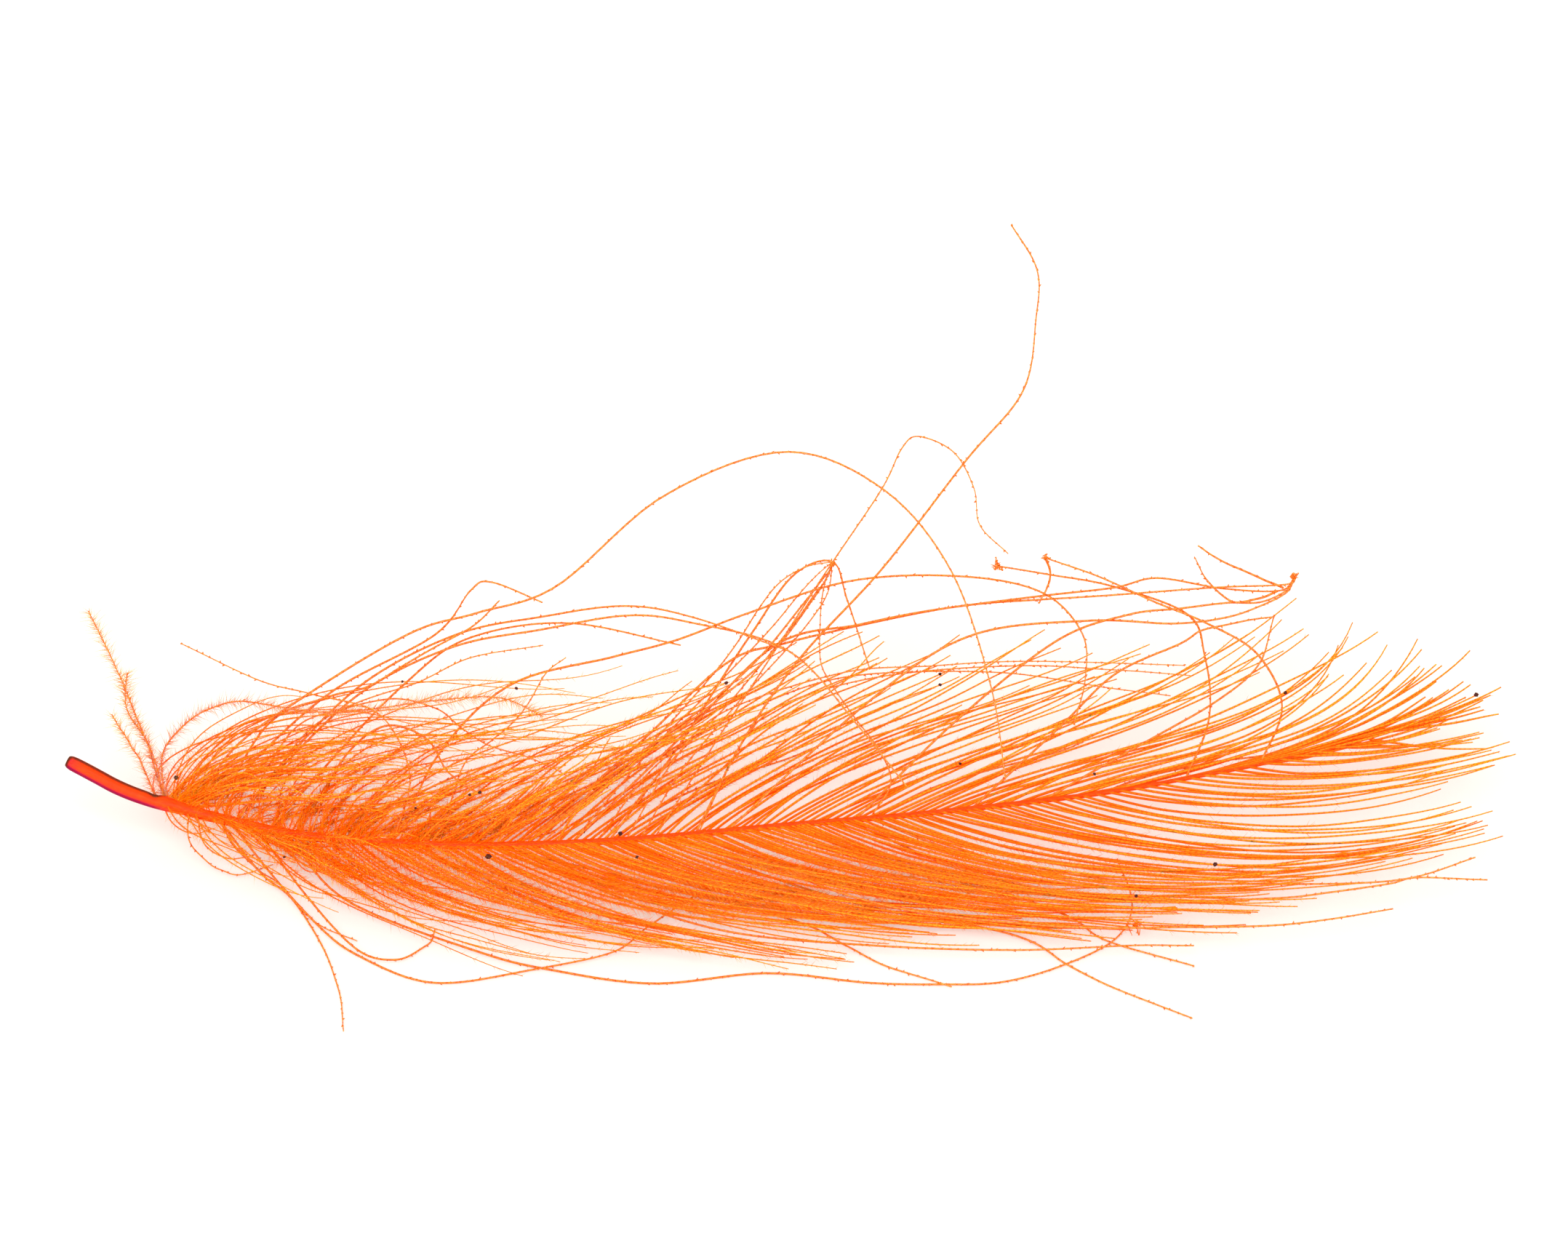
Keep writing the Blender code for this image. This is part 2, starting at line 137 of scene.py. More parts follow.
# Loose filaments of the solid from the root outward, x, y, z
FILAMENTS = {
    "base_long": ((-21.8, 1.27, 2.15), (-22.5, 2.7, 2.9), (-23.4, 3.5, 4.2)),
    "base_tall": (
        (-21.5, 1.2, 2.1), (-22.1, 2.7, 3.3), (-22.8, 3.7, 4.9), (-23.1, 4.3, 5.3), (-24.2, 5.9, 6.9),
    ),
    "back": (
        (-13.6, 0.08, 1.33), (-13.0, 2.1, 2.6), (-14.1, 3.5, 4.2), (-16.4, 4.1, 4.6), (-18.3, 4.4, 5.0),
        (-21.0, 5.2, 6.0),
    ),
    "arch": (
        (-20.5, 0.97, 1.94), (-19.2, 3.4, 2.6), (-16.6, 4.9, 3.8), (-13.0, 6.5, 5.2), (-10.7, 6.5, 6.2),
        (-7.9, 6.5, 7.5), (-4.2, 8.7, 9.7), (0.0, 9.8, 10.8), (3.4, 8.9, 9.9), (5.8, 6.9, 7.9),
        (7.2, 4.2, 4.9), (7.7, 1.5, 3.0),
    ),
    "crook": (
        (-19.9, 0.82, 1.85), (-18.2, 3.4, 2.4), (-15.7, 5.3, 3.6), (-12.2, 6.6, 5.0), (-10.9, 6.4, 7.4),
        (-10.2, 6.6, 7.6), (-8.4, 6.1, 7.1),
    ),
    "wave": (
        (-19.1, 0.66, 1.75), (-17.3, 3.1, 2.3), (-14.7, 5.4, 3.4), (-11.6, 6.4, 4.6), (-8.6, 6.7, 5.2),
        (-5.6, 6.8, 5.8), (-3.2, 6.6, 5.6), (0.2, 6.0, 4.8), (2.6, 3.5, 3.6), (4.3, 1.2, 2.9),
    ),
    "wave_two": (
        (-17.9, 0.44, 1.6), (-16.0, 2.9, 2.2), (-13.4, 5.8, 3.2), (-11.1, 7.0, 4.4), (-7.5, 6.8, 5.4),
        (-3.6, 6.3, 4.8),
    ),
    "ridge": (
        (-13.4, 0.06, 1.32), (-12.1, 3.2, 2.4), (-9.6, 5.5, 3.6), (-6.0, 6.1, 4.4), (-3.8, 6.4, 5.0),
        (-1.3, 6.9, 5.8), (2.4, 7.3, 7.0), (6.2, 7.3, 7.2), (9.0, 7.1, 6.6), (10.4, 6.3, 5.4),
        (10.5, 5.3, 4.1), (10.1, 3.9, 3.3),
    ),
    "tall": (
        (-3.1, 0.6, 1.2), (-1.4, 3.9, 2.6), (0.6, 5.5, 5.0), (3.4, 6.9, 7.9), (6.3, 9.6, 10.6),
        (8.3, 11.3, 12.3), (8.8, 13.1, 14.1), (8.8, 14.3, 15.3), (7.9, 15.4, 16.4),
    ),
    "pale": (
        (-4.5, 0.44, 1.2), (-1.9, 4.6, 2.8), (0.5, 6.6, 6.0), (1.7, 7.1, 8.1), (3.4, 8.9, 9.9),
        (4.1, 9.9, 10.9), (4.7, 10.2, 11.2), (5.9, 9.8, 10.8), (6.6, 8.9, 9.9), (6.8, 8.0, 9.0),
        (7.8, 7.3, 8.3),
    ),
    "knot": (
        (-6.1, 0.26, 1.2), (-3.5, 4.1, 2.4), (-1.2, 6.9, 4.6), (0.3, 7.9, 6.6), (1.7, 7.1, 8.1),
        (2.2, 7.2, 6.1), (3.0, 5.7, 4.2),
    ),
    "knot_two": (
        (-9.0, 0.06, 1.23), (-5.1, 3.4, 2.2), (-1.3, 5.9, 4.0), (0.8, 7.4, 6.0), (1.6, 7.1, 7.7),
    ),
    "curl_back": (
        (14.0, 2.68, 1.85), (14.8, 4.5, 2.9), (14.7, 6.1, 4.4), (14.1, 6.7, 5.9), (11.5, 7.3, 6.7),
        (9.2, 7.6, 7.0), (7.4, 7.0, 8.0),
    ),
    "curl_high": (
        (16.6, 3.15, 2.1), (17.4, 4.9, 3.2), (16.5, 5.9, 4.8), (14.7, 6.5, 5.7), (12.7, 6.9, 6.5),
        (10.9, 7.3, 7.2), (9.1, 7.2, 8.2),
    ),
    "hook": (
        (-7.4, 0.16, 1.21), (-3.5, 4.2, 2.5), (-0.3, 6.5, 4.6), (2.6, 6.5, 5.6), (5.1, 6.6, 6.2),
        (9.0, 7.0, 6.5), (11.5, 7.1, 6.8), (13.0, 6.7, 7.7), (15.3, 7.0, 6.9), (17.3, 6.9, 6.9),
        (17.8, 6.8, 7.8),
    ),
    "hook_top": ((17.4, 6.92, 7.0), (16.6, 7.2, 7.2), (15.3, 7.4, 7.8), (14.4, 7.5, 8.5)),
    "hook_mid": (
        (17.2, 6.9, 6.88), (16.5, 6.7, 6.7), (15.6, 6.7, 6.6), (14.8, 7.3, 6.9), (14.3, 7.2, 8.2),
    ),
    "spur": ((9.0, 1.95, 1.48), (12.8, 4.1, 2.4), (15.3, 5.1, 3.4), (16.6, 5.8, 4.5), (17.1, 6.8, 5.8)),
    "foot": (
        (-19.7, 0.78, 1.83), (-18.2, -0.6, 0.5), (-17.1, -1.6, 0.2), (-16.0, -3.8, 0.09),
        (-15.4, -5.8, 0.09), (-15.2, -7.8, 0.09),
    ),
    "loop_small": (
        (-20.7, 1.01, 1.97), (-20.7, 0.5, 0.9), (-19.9, 0.0, 0.3), (-19.0, -0.4, 0.2),
        (-17.8, 0.2, 0.1),
    ),
    "sweep": (
        (-19.3, 0.7, 1.78), (-17.5, -1.2, 0.5), (-15.8, -3.3, 0.2), (-14.6, -4.3, 0.1),
        (-12.9, -5.3, 0.1), (-11.4, -5.5, 0.1), (-9.1, -5.0, 0.1), (-6.0, -4.2, 0.2), (-4.7, -3.0, 0.3),
        (-3.0, -1.4, 0.3),
    ),
    "loop_mid": (
        (-18.4, 0.53, 1.66), (-16.6, -1.8, 0.6), (-14.8, -4.1, 0.3), (-13.4, -4.5, 0.2),
        (-12.4, -3.7, 0.1), (-12.1, -2.9, 0.1),
    ),
    "hem": (
        (-17.3, 0.34, 1.53), (-15.2, -2.1, 0.7), (-10.6, -4.1, 0.2), (-8.0, -4.9, 0.1),
        (-4.5, -5.5, 0.1), (-0.6, -5.0, 0.1), (2.9, -5.5, 0.1), (5.4, -5.6, 0.1), (7.5, -5.5, 0.1),
        (9.6, -4.7, 0.1), (11.5, -3.4, 0.1), (12.1, -1.9, 0.3), (11.6, 0.1, 0.5),
    ),
    "trail": (
        (-4.5, 0.44, 1.2), (2.1, -2.1, 0.7), (7.8, -3.3, 0.25), (9.8, -4.6, 0.1), (11.3, -5.7, 0.1),
        (14.1, -7.2, 0.1),
    ),
    "trail_two": (
        (0.4, 1.05, 1.2), (5.8, -0.9, 0.7), (9.7, -2.4, 0.3), (11.2, -3.5, 0.1), (14.2, -4.7, 0.1),
    ),
    "trail_three": (
        (-10.2, 0.02, 1.25), (-3.8, -1.6, 0.7), (0.4, -2.8, 0.4), (2.1, -3.8, 0.2), (3.8, -4.8, 0.1),
        (5.8, -5.7, 0.1),
    ),
    "prop_one": (
        (-15.0, 0.16, 1.4), (-13.6, 2.0, 1.05), (-11.8, 3.9, 0.55), (-10.0, 5.2, 0.1),
        (-8.8, 5.9, 0.09),
    ),
    "prop_two": (
        (-6.0, 0.26, 1.2), (-4.2, 2.2, 1.05), (-2.2, 3.9, 0.55), (-0.2, 5.2, 0.1), (1.0, 5.9, 0.09),
    ),
    "prop_three": (
        (3.0, 1.32, 1.26), (5.0, 2.9, 1.05), (7.2, 4.4, 0.55), (9.3, 5.6, 0.1), (10.5, 6.2, 0.09),
    ),
    "prop_four": (
        (11.0, 2.2, 1.6), (12.9, 3.5, 1.2), (15.0, 4.7, 0.6), (17.0, 5.6, 0.1), (18.2, 6.1, 0.09),
    ),
}

# Filaments too fine for the solid, x, y, z
FINE_FILAMENTS = {
    "hook_long": (
        (-9.0, 0.06, 1.23), (-5.0, 3.9, 2.4), (-2.0, 6.1, 4.1), (0.0, 6.6, 4.6), (2.6, 6.7, 5.4),
        (5.1, 6.9, 5.9), (7.2, 7.0, 6.2), (9.0, 7.0, 6.4), (11.5, 7.0, 6.6), (15.0, 6.95, 7.0),
        (17.5, 6.8, 7.3), (17.75, 6.8, 7.7),
    ),
    "hook_low": (
        (2.5, 1.27, 1.25), (6.0, 4.2, 3.2), (9.5, 6.1, 5.2), (12.0, 6.6, 6.0), (13.8, 6.7, 6.2),
        (15.4, 6.75, 6.4), (16.6, 6.8, 6.4), (17.5, 6.8, 7.05), (17.75, 6.8, 7.6),
    ),
    "hook_lower": (
        (-2.0, 0.73, 1.2), (3.0, 5.0, 3.4), (6.5, 6.4, 5.2), (10.6, 6.6, 5.7), (13.6, 6.6, 5.5),
        (15.4, 6.65, 5.8), (16.6, 6.75, 6.3), (17.5, 6.8, 6.9), (17.75, 6.8, 7.55),
    ),
    "peak_outer": (
        (-8.5, 0.08, 1.22), (-5.5, 3.0, 2.0), (-2.85, 5.7, 3.4), (-1.68, 6.7, 4.4), (-0.79, 7.2, 5.8),
        (-0.06, 7.5, 6.8), (0.82, 7.4, 7.6), (1.68, 7.1, 8.1),
    ),
    "peak_left": (
        (-7.4, 0.16, 1.2), (-4.6, 3.7, 2.3), (-2.7, 5.4, 3.2), (-1.38, 6.4, 4.1), (-0.29, 6.9, 5.3),
        (0.53, 7.3, 6.3), (1.18, 7.3, 7.3), (1.68, 7.1, 8.1),
    ),
    "peak_mid": (
        (-6.3, 0.24, 1.2), (-4.0, 3.2, 2.1), (-2.1, 5.0, 3.0), (-0.79, 6.2, 3.9), (0.38, 6.9, 5.3),
        (0.97, 7.2, 6.2), (1.47, 7.2, 7.2), (1.68, 7.1, 8.1),
    ),
    "peak_inner": (
        (-5.0, 0.39, 1.2), (-3.7, 2.7, 2.0), (-2.26, 4.5, 2.7), (-1.1, 5.6, 3.5), (0.09, 6.6, 4.3),
        (1.06, 7.1, 5.5), (1.56, 7.2, 6.6), (1.68, 7.1, 8.1),
    ),
    "peak_back": (
        (3.0, 1.32, 1.26), (3.7, 2.3, 2.0), (3.3, 3.5, 2.5), (2.44, 4.7, 2.9), (1.7, 5.6, 3.5),
        (1.3, 6.3, 4.0), (1.24, 6.9, 5.3), (1.35, 7.1, 6.7), (1.68, 7.1, 8.1),
    ),
    "band_one": (
        (-5.5, 0.32, 1.2), (-3.9, 3.0, 2.3), (-2.1, 4.9, 2.9), (2.0, 6.1, 3.6), (5.2, 6.3, 3.8),
        (8.5, 6.4, 3.9), (14.0, 6.3, 3.8),
    ),
    "band_two": (
        (-6.5, 0.22, 1.2), (-4.6, 2.9, 2.1), (-2.5, 4.4, 2.6), (1.2, 5.8, 3.4), (4.5, 6.1, 3.7),
        (7.7, 6.0, 3.7), (11.3, 5.6, 3.4), (13.5, 5.3, 3.3),
    ),
    "band_three": (
        (-3.0, 0.6, 1.2), (-1.5, 3.8, 2.4), (0.0, 5.3, 2.9), (3.5, 6.1, 3.5), (8.5, 6.3, 3.8),
        (11.5, 6.2, 3.7), (14.2, 6.0, 3.6),
    ),
    "knot_tail": ((9.1, 7.2, 8.2), (9.27, 7.1, 7.5), (9.15, 7.0, 6.9), (8.9, 6.8, 6.4)),
    "loop_inner": (
        (-20.4, 0.93, 1.92), (-20.3, 0.6, 1.0), (-19.98, 0.35, 0.68), (-19.4, 0.15, 0.47),
        (-18.9, 0.2, 0.42), (-18.4, 0.4, 0.4),
    ),
    "loop_line": (
        (-19.6, 0.76, 1.82), (-19.2, 0.4, 0.88), (-18.35, -0.3, 0.42), (-17.5, -0.95, 0.25),
        (-16.8, -2.0, 0.15), (-16.0, -2.85, 0.1), (-14.8, -3.5, 0.1),
    ),
    "spur_side": (
        (6.5, 1.64, 1.36), (9.5, 4.0, 2.9), (11.5, 5.4, 4.2), (13.8, 5.9, 5.3), (14.7, 6.1, 5.8),
        (16.0, 6.3, 6.0), (17.1, 6.6, 5.9),
    ),
    "cross_up": (
        (-12.0, 0.02, 1.28), (-11.2, 3.0, 2.1), (-10.2, 3.9, 2.5), (-9.0, 4.6, 3.4), (-8.3, 5.3, 4.4),
        (-7.6, 5.6, 4.9),
    ),
    "droop": (
        (-18.9, 0.62, 1.73), (-16.5, 4.0, 3.0), (-14.0, 5.0, 3.4), (-12.2, 4.7, 3.3), (-11.2, 4.1, 2.9),
        (-10.3, 3.6, 2.6), (-9.0, 3.2, 2.4), (-8.0, 2.8, 2.2), (-7.6, 2.6, 2.1),
    ),
    "droop_short": (
        (-16.5, 0.22, 1.45), (-15.5, 3.0, 2.2), (-14.0, 4.3, 2.8), (-12.5, 3.8, 2.7), (-11.8, 2.6, 2.4),
        (-11.0, 1.9, 2.2), (-10.4, 1.6, 2.1),
    ),
    "arch_side": (
        (-19.9, 0.82, 1.85), (-18.0, 4.2, 3.0), (-16.0, 4.9, 3.6), (-14.6, 5.1, 3.9), (-13.4, 5.4, 4.6),
        (-12.2, 5.7, 5.3), (-10.8, 6.1, 6.0), (-9.9, 6.2, 7.1),
    ),
    "arch_low": (
        (-19.0, 0.64, 1.74), (-17.2, 4.0, 2.8), (-15.2, 4.8, 3.3), (-12.9, 5.3, 3.9), (-10.9, 5.8, 4.7),
        (-8.4, 6.2, 4.9),
    ),
    "fork": (
        (-21.5, 1.2, 2.1), (-22.1, 2.8, 3.4), (-22.8, 3.6, 4.15), (-22.9, 4.1, 4.85),
        (-22.85, 4.4, 5.35),
    ),
    "tuft_edge": (
        (-21.55, 1.25, 2.15), (-21.63, 2.2, 2.86), (-21.55, 2.8, 3.16), (-21.14, 3.2, 3.59),
        (-20.5, 3.6, 4.01), (-19.74, 3.8, 4.3), (-18.93, 3.9, 4.42), (-18.0, 3.85, 4.33),
        (-16.49, 3.75, 4.11), (-14.8, 3.8, 4.1), (-12.0, 4.3, 4.1), (-9.9, 4.4, 4.1), (-8.4, 3.9, 3.7),
    ),
    "under_long": (
        (-3.0, 0.6, 1.2), (3.0, -2.6, 1.1), (9.0, -3.6, 1.0), (14.0, -3.75, 1.05), (16.6, -3.75, 1.1),
        (18.9, -3.5, 1.2), (21.1, -3.2, 1.4),
    ),
    "under_tip": (
        (2.2, 1.24, 1.24), (3.5, 0.5, 1.15), (6.0, -0.9, 1.05), (9.0, -1.9, 1.1), (13.0, -2.5, 1.1),
        (17.0, -2.5, 1.2), (19.0, -2.3, 1.3), (21.0, -2.0, 1.4), (22.0, -1.8, 1.5), (24.4, -2.0, 1.6),
    ),
    "under_side": (
        (3.0, 1.32, 1.26), (5.5, 0.0, 1.2), (8.0, -0.8, 1.2), (11.0, -1.5, 1.15), (15.0, -1.8, 1.2),
        (19.0, -1.95, 1.35), (21.7, -1.8, 1.5), (24.0, -1.1, 1.8),
    ),
    "hem_upper": (
        (-9.5, 0.02, 1.24), (-6.0, -2.0, 0.9), (-2.0, -3.6, 0.7), (3.0, -4.2, 0.6), (8.0, -4.4, 0.6),
        (12.0, -4.2, 0.6), (14.2, -4.2, 0.6),
    ),
}

# Copies that run beside a filament of the solid: their number, how far apart they start along the
# shaft in mm, and how many of its stations they follow
BUNDLES = {
    "knot_two": (1, 1.5, 5),
    "wave": (1, 1.6, 8),
}
# Filaments drawn thinner than the rest, and those that carry long hairs in place of beads
FINE = (
    "pale", "base_long", "base_tall", "fork", "tuft_edge", "back", "loop_small", "loop_inner",
    "loop_line", "band_one", "band_two", "band_three", "peak_outer", "peak_left", "peak_mid",
    "peak_inner", "peak_back", "cross_up", "droop", "arch_low",
)
HAIRY = ("base_long", "base_tall", "fork", "tuft_edge")

# Knots of tangled barbs: x, y, z and radius, mm
KNOTS = (
    (7.4, 7.0, 8.0, 0.16),
    (9.1, 7.2, 8.2, 0.14),
    (17.75, 6.8, 7.7, 0.13),
    (1.7, 7.1, 8.05, 0.10),
    (12.2, -3.4, 0.75, 0.24),
)

# Dust caught in the barbs: place in the photograph's pixels, and radius, mm
DUST = (
    (526, 1516, 0.07), (643, 1463, 0.04), (685, 1532, 0.05), (694, 1524, 0.06), (696, 1562, 0.09),
    (713, 1479, 0.05), (772, 1547, 0.07), (782, 1560, 0.05), (824, 1470, 0.06), (946, 1478, 0.05),
    (957, 1514, 0.05), (1031, 1515, 0.05), (1097, 1564, 0.07), (1127, 1475, 0.06), (1236, 1478, 0.07),
    (655, 1540, 0.04), (752, 1545, 0.05), (940, 1466, 0.05), (1051, 1580, 0.05), (590, 1560, 0.04),
)
# The photograph's scale, and its pixel and the sum of y and z at the tables' origin
PIXELS_PER_MM = 15.64
PIXEL_ZERO = (860.0, 1558.0)
SUM_ZERO = 1.25

# How untidily the barbs lie, by the x of the root
FAR_WILD = (
    (-21.5, 1.0), (-18.5, 1.0), (-16.0, 0.9), (-13.0, 0.7), (-9.0, 0.5), (-3.0, 0.3), (5.0, 0.2),
    (20.0, 0.15),
)
NEAR_WILD = (
    (-21.5, 0.6), (-19.0, 0.5), (-16.5, 0.35), (-12.0, 0.22), (0.0, 0.13), (6.0, 0.06), (20.0, 0.05),
)
# How far the barbules reach, as a share of their full length, by the x of the barb's root
FAR_FILL = (
    (-21.5, 0.8), (-18.5, 0.88), (-11.0, 0.85), (-8.0, 0.7), (-2.0, 0.36), (3.0, 0.28), (20.0, 0.25),
)
NEAR_FILL = ((-21.5, 0.85), (-16.0, 0.95), (-2.0, 0.95), (3.0, 0.62), (7.0, 0.28), (20.0, 0.22))
# How closely the barbs stand along the shaft, as a share of the closest, by the x of the root
FAR_CLOSE = ((-21.65, 0.85), (-14.0, 0.9), (-8.0, 1.0), (1.0, 0.88), (7.0, 0.64), (19.95, 0.6))
NEAR_CLOSE = (
    (-21.65, 0.95), (-14.0, 1.0), (-8.0, 1.0), (1.0, 0.88), (7.0, 0.55), (14.0, 0.34), (19.95, 0.32),
)
# For each vane:
#   side: 1 for the far side of the shaft, -1 for the near one
#   curves, close, wild, fill: its tables above
#   barbs: its barbs as a share of the number in the settings
#   tip_width: how wide they are near the feather's tip, as a share of the usual width
#   paling: how far a barb pales along its length, at the two places of PALING_X
#   astray: how far a barb's angle strays, in degrees, by the x of the root
#   downy, down_peak, down_end: the number of short downy barbs, and the x where most stand and where
#   they end
#   fan, spray: the number of barbs in the fan at the base and in the one at the tip
#   gather: between which shares of the length neighbours begin to draw together
#   pull: how far they do
#   mix: how far along the shaft, in mm, a barb's curve may be that of its neighbours
VANES = {
    "far": {
        "side": 1, "curves": FAR_VANE, "close": FAR_CLOSE, "wild": FAR_WILD, "fill": FAR_FILL,
        "barbs": 0.83, "tip_width": 1.22, "paling": (0.95, 0.72), "astray": ((-9.0, 12.0), (-4.0, 5.0)),
        "downy": 110, "down_peak": -15.5, "down_end": -7.5, "fan": 60, "spray": 3,
        "gather": (0.15, 0.65), "pull": 0.5, "mix": 0.8,
    },
    "near": {
        "side": -1, "curves": NEAR_VANE, "close": NEAR_CLOSE, "wild": NEAR_WILD, "fill": NEAR_FILL,
        "barbs": 1.14, "tip_width": 1.04, "paling": (0.58, 0.9), "astray": ((-9.0, 9.0), (-4.0, 7.0)),
        "downy": 26, "down_peak": -17.5, "down_end": -14.0, "fan": 0, "spray": 3,
        "gather": (0.5, 0.9), "pull": 0.45, "mix": 0.3,
    },
}
PALING_X = (4.0, 12.0)

# Half the width of a root's scatter, and the x of the first and the last place of a root, mm
ROOT_SCATTER = 0.06
FIRST_BARB = FIRST_ROOT - 0.35
LAST_BARB = LAST_ROOT + 0.25

# Habits of the barbs. A pair is the least and the most of an even spread, a cut is a share of the
# vane's own length, a share is that of the barbs concerned, and angles are in degrees.
# Downy barbs
DOWNY_CUT = (0.15, 0.5)
DOWNY_WILD = 1.15
# The fan at the base, and the stretch of the shaft that it leaves from, mm
FAN_CUT = (0.2, 0.65)
FAN_WILD = 0.7
FAN_ANGLE = (30, 118)
FAN_BEND = (0.9, 2.4)
FAN_SPAN = 1.0
# Short barbs at the base of the near vane, up to an x, and their angle as a share of the vane's
SHORT_END = -17.5
SHORT_SHARE = 0.75
SHORT_CUT = (0.25, 0.6)
SHORT_ANGLE = 0.6
# The fan at the tip: length and stretch of the shaft, mm
SPRAY_LENGTH = (3.6, 4.8)
SPRAY_REACH = (-8, 14)
SPRAY_SPAN = 1.2
# Stunted barbs in the middle of the far vane: the middle's x and half the stretch
STUNTED_MIDDLE = -2
STUNTED_SPAN = 8
STUNTED_SHARE = 0.4
STUNTED_CUT = (0.6, 0.95)
# The last barbs of the near vane leave at a lesser angle and end at a greater one
FLATTER_LEAVE = 13
FLATTER_REACH = 4
# Barbs of the far vane that stay straight, from an x on, and by how much more their tips point out
STRAIGHT_FROM = -5
STRAIGHT_SHARE = ((6.0, 0.3), (9.0, 0.2))
STRAIGHT_REACH = (2, 14)
STRAIGHT_BEND = (0.8, 1.5)
STRAIGHT_CURL = 0.2
# Curl of the others: the least by the x of the root, and the most
CURL_LEAST = ((2.0, 0.9), (8.0, 0.35))
CURL_MOST = 1.1
# The most standard deviations that anything strays by, and how much length, angle at the tip and wave
# vary where the barbs lie tidily, and how much more where they are wild
FARTHEST = 1.7
LENGTH_STRAY = (0.045, 0.07)
REACH_STRAY = (0.8, 8)
WAVE_STRAY = (2, 13)
# How much the angle at the root, the bend and the curl vary
LEAVE_STRAY = 0.6
BEND_STRAY = 0.12
CURL_STRAY = 0.2
# By what share a barb falls short of its curve on the whole, and may fall short of it or outgrow it at
# most, the latter by the x of the root
LENGTH_LOSS = 0.02
SHORTEST = -0.4
LONGEST = ((8.0, 0.06), (14.0, -0.02))
# Waves along a barb, and the widest angle at which one leaves the shaft
WAVES = (1.0, 2.6)
WIDEST_ANGLE = 145
# Share of the length within which a barb gets from the shaft's side, at a share of its radius, into
# its layer, and how far the layers and the wild barbs lie apart, mm, these in so many half waves
BEGIN = 0.2
ROOT_RISE = 0.4
LAYER = 0.12
LIFT = 0.5
LIFT_WAVES = (0.5, 1.2)
# Power of its cut by which a short barb rises less, and the lowest that any lies, mm
CUT_RISE = 0.8
LOWEST = 0.06
# Stretches of the shaft, by x: where neighbours' curves mix, where the last near barbs flatten, where
# the step of the locks fades, and where the pull between neighbours grows and fades
MIXES = (-16, -12)
FLATTENS = (9, 14)
SHELF_FADES = (1, 7)
PULL_GROWS = (-17, -12)
PULL_FADES = (-9, 0)
# What share of the step and of the pull is lost there
FADED = 0.8
# Spread of the barbs' tones about a half
TONE_SPREAD = 0.22
# How many neighbours draw together, how strongly, over what share of the length this grows, and how
# much of it the tips lose
GROUP_SIZES = (1, 1, 1, 2, 2, 2, 3, 4)
PULL_STRENGTH = (0.15, 1.0)
PULL_SPAN = 0.4
TIPS_FREED = 0.45
# Rings of a barb's tube, the power that spaces them, and its sides
BARB_RINGS = 44
RING_SPREAD = 1.15
BARB_SIDES = 4
# Width as a share of the setting, by the x of the root; from TIP_X on, it is the vane's tip_width
BARB_WIDTHS = ((-17.0, 0.62), (-8.0, 1.0), (3.0, 1.0))
TIP_X = 12.0

# Barbules, by the x of their barb's root: how soft they are, from which share of the barb they thin
# out, and by how much they are shortened next to the shaft
SOFTNESS = ((-20.5, 1.0), (-17.0, 0.0))
THIN_FROM = ((-14.0, 0.1), (-8.0, 0.25))
BARE_ROOT = ((-13.0, 0.0), (-8.0, 0.55))
# Over what shares of the barb the thinning and the shortening reach, and the share that is thinned out
THIN_SPAN = 0.55
BARE_SPAN = 0.3
THINNED = 0.9
# How much fewer and finer they are where they are soft, and their even spread in length
SOFT_FEWER = 0.35
SOFT_FINER = 0.4
BARBULE_SPREAD = (0.5, 1.1)
# Bare ends of a barb, mm
BARE_ENDS = (0.02, 0.03)
# Their angle from the barb in degrees, how much greater it is where they are soft, and the spread of
# their tilt out of the vane in radians
BARBULE_LEAN = (25, 60)
SOFT_LEAN = 25
BARBULE_FLARE = 0.8
# The share of them that is long, and the least reach of those
LONG_SHARE = 0.12
LONG_FILL = 0.7

# Loose barbs: rings, how far they ripple and the lowest that they lie, mm, and the thin ones' width
LOOSE_RINGS = 90
RIPPLE = 0.018
LOOSE_LOWEST = 0.05
THIN_WIDTH = 0.7
# What stands on them: whether the hairy ones carry it, the distance between two, the least and the
# most length and the width, all in mm, and the spread of its tilt in radians; then its angle in
# degrees, and the bare ends, mm
FRINGES = {
    "beads": (False, 0.28, 0.07, 0.12, 0.11, 1.2),
    "hairs": (True, 0.013, 0.2, 0.65, 0.020, 1.0),
}
FRINGE_LEAN = (35, 85)
FRINGE_ENDS = (0.2, 0.03)

# Strands of a knot, their rings, and their width in mm; rings and sides of a speck
KNOT_STRANDS = 18
KNOT_RINGS = 10
KNOT_WIDTH = 0.055
SPECK_RINGS = 7
SPECK_SIDES = 6

# Quill: sides and rings of the tube, and the x of its cut end, of the painted dark shade of the rim
# there, of the upper navel, and of the ends of the bare stretch
QUILL_SIDES = 24
SHAFT_RINGS = 340
QUILL_END = -24.94
RIM_X = -24.95
NAVEL_X = -21.95
BARE_FROM = -25.2
BARE_TO = -20.9
# The stretch from the quill to the orange shaft
SHAFT_PALES = (-22.0, -18.0)
# Where round it the painted dark shade of the upper edge, the painted crimson shade of the lower edge
# and the navel's dent lie
UPPER_EDGE, LOWER_EDGE, DENT = np.radians((112, -14, 120))
# Rings of the pit in the cut end, each with the tube's ring that it lies at and its radius in mm, and
# how dark the painted shade in the pit is
PIT = ((5, 0.02), (5, 0.10), (3, 0.13), (1, 0.14), (0, 0.15))
PIT_SHADE = 0.3

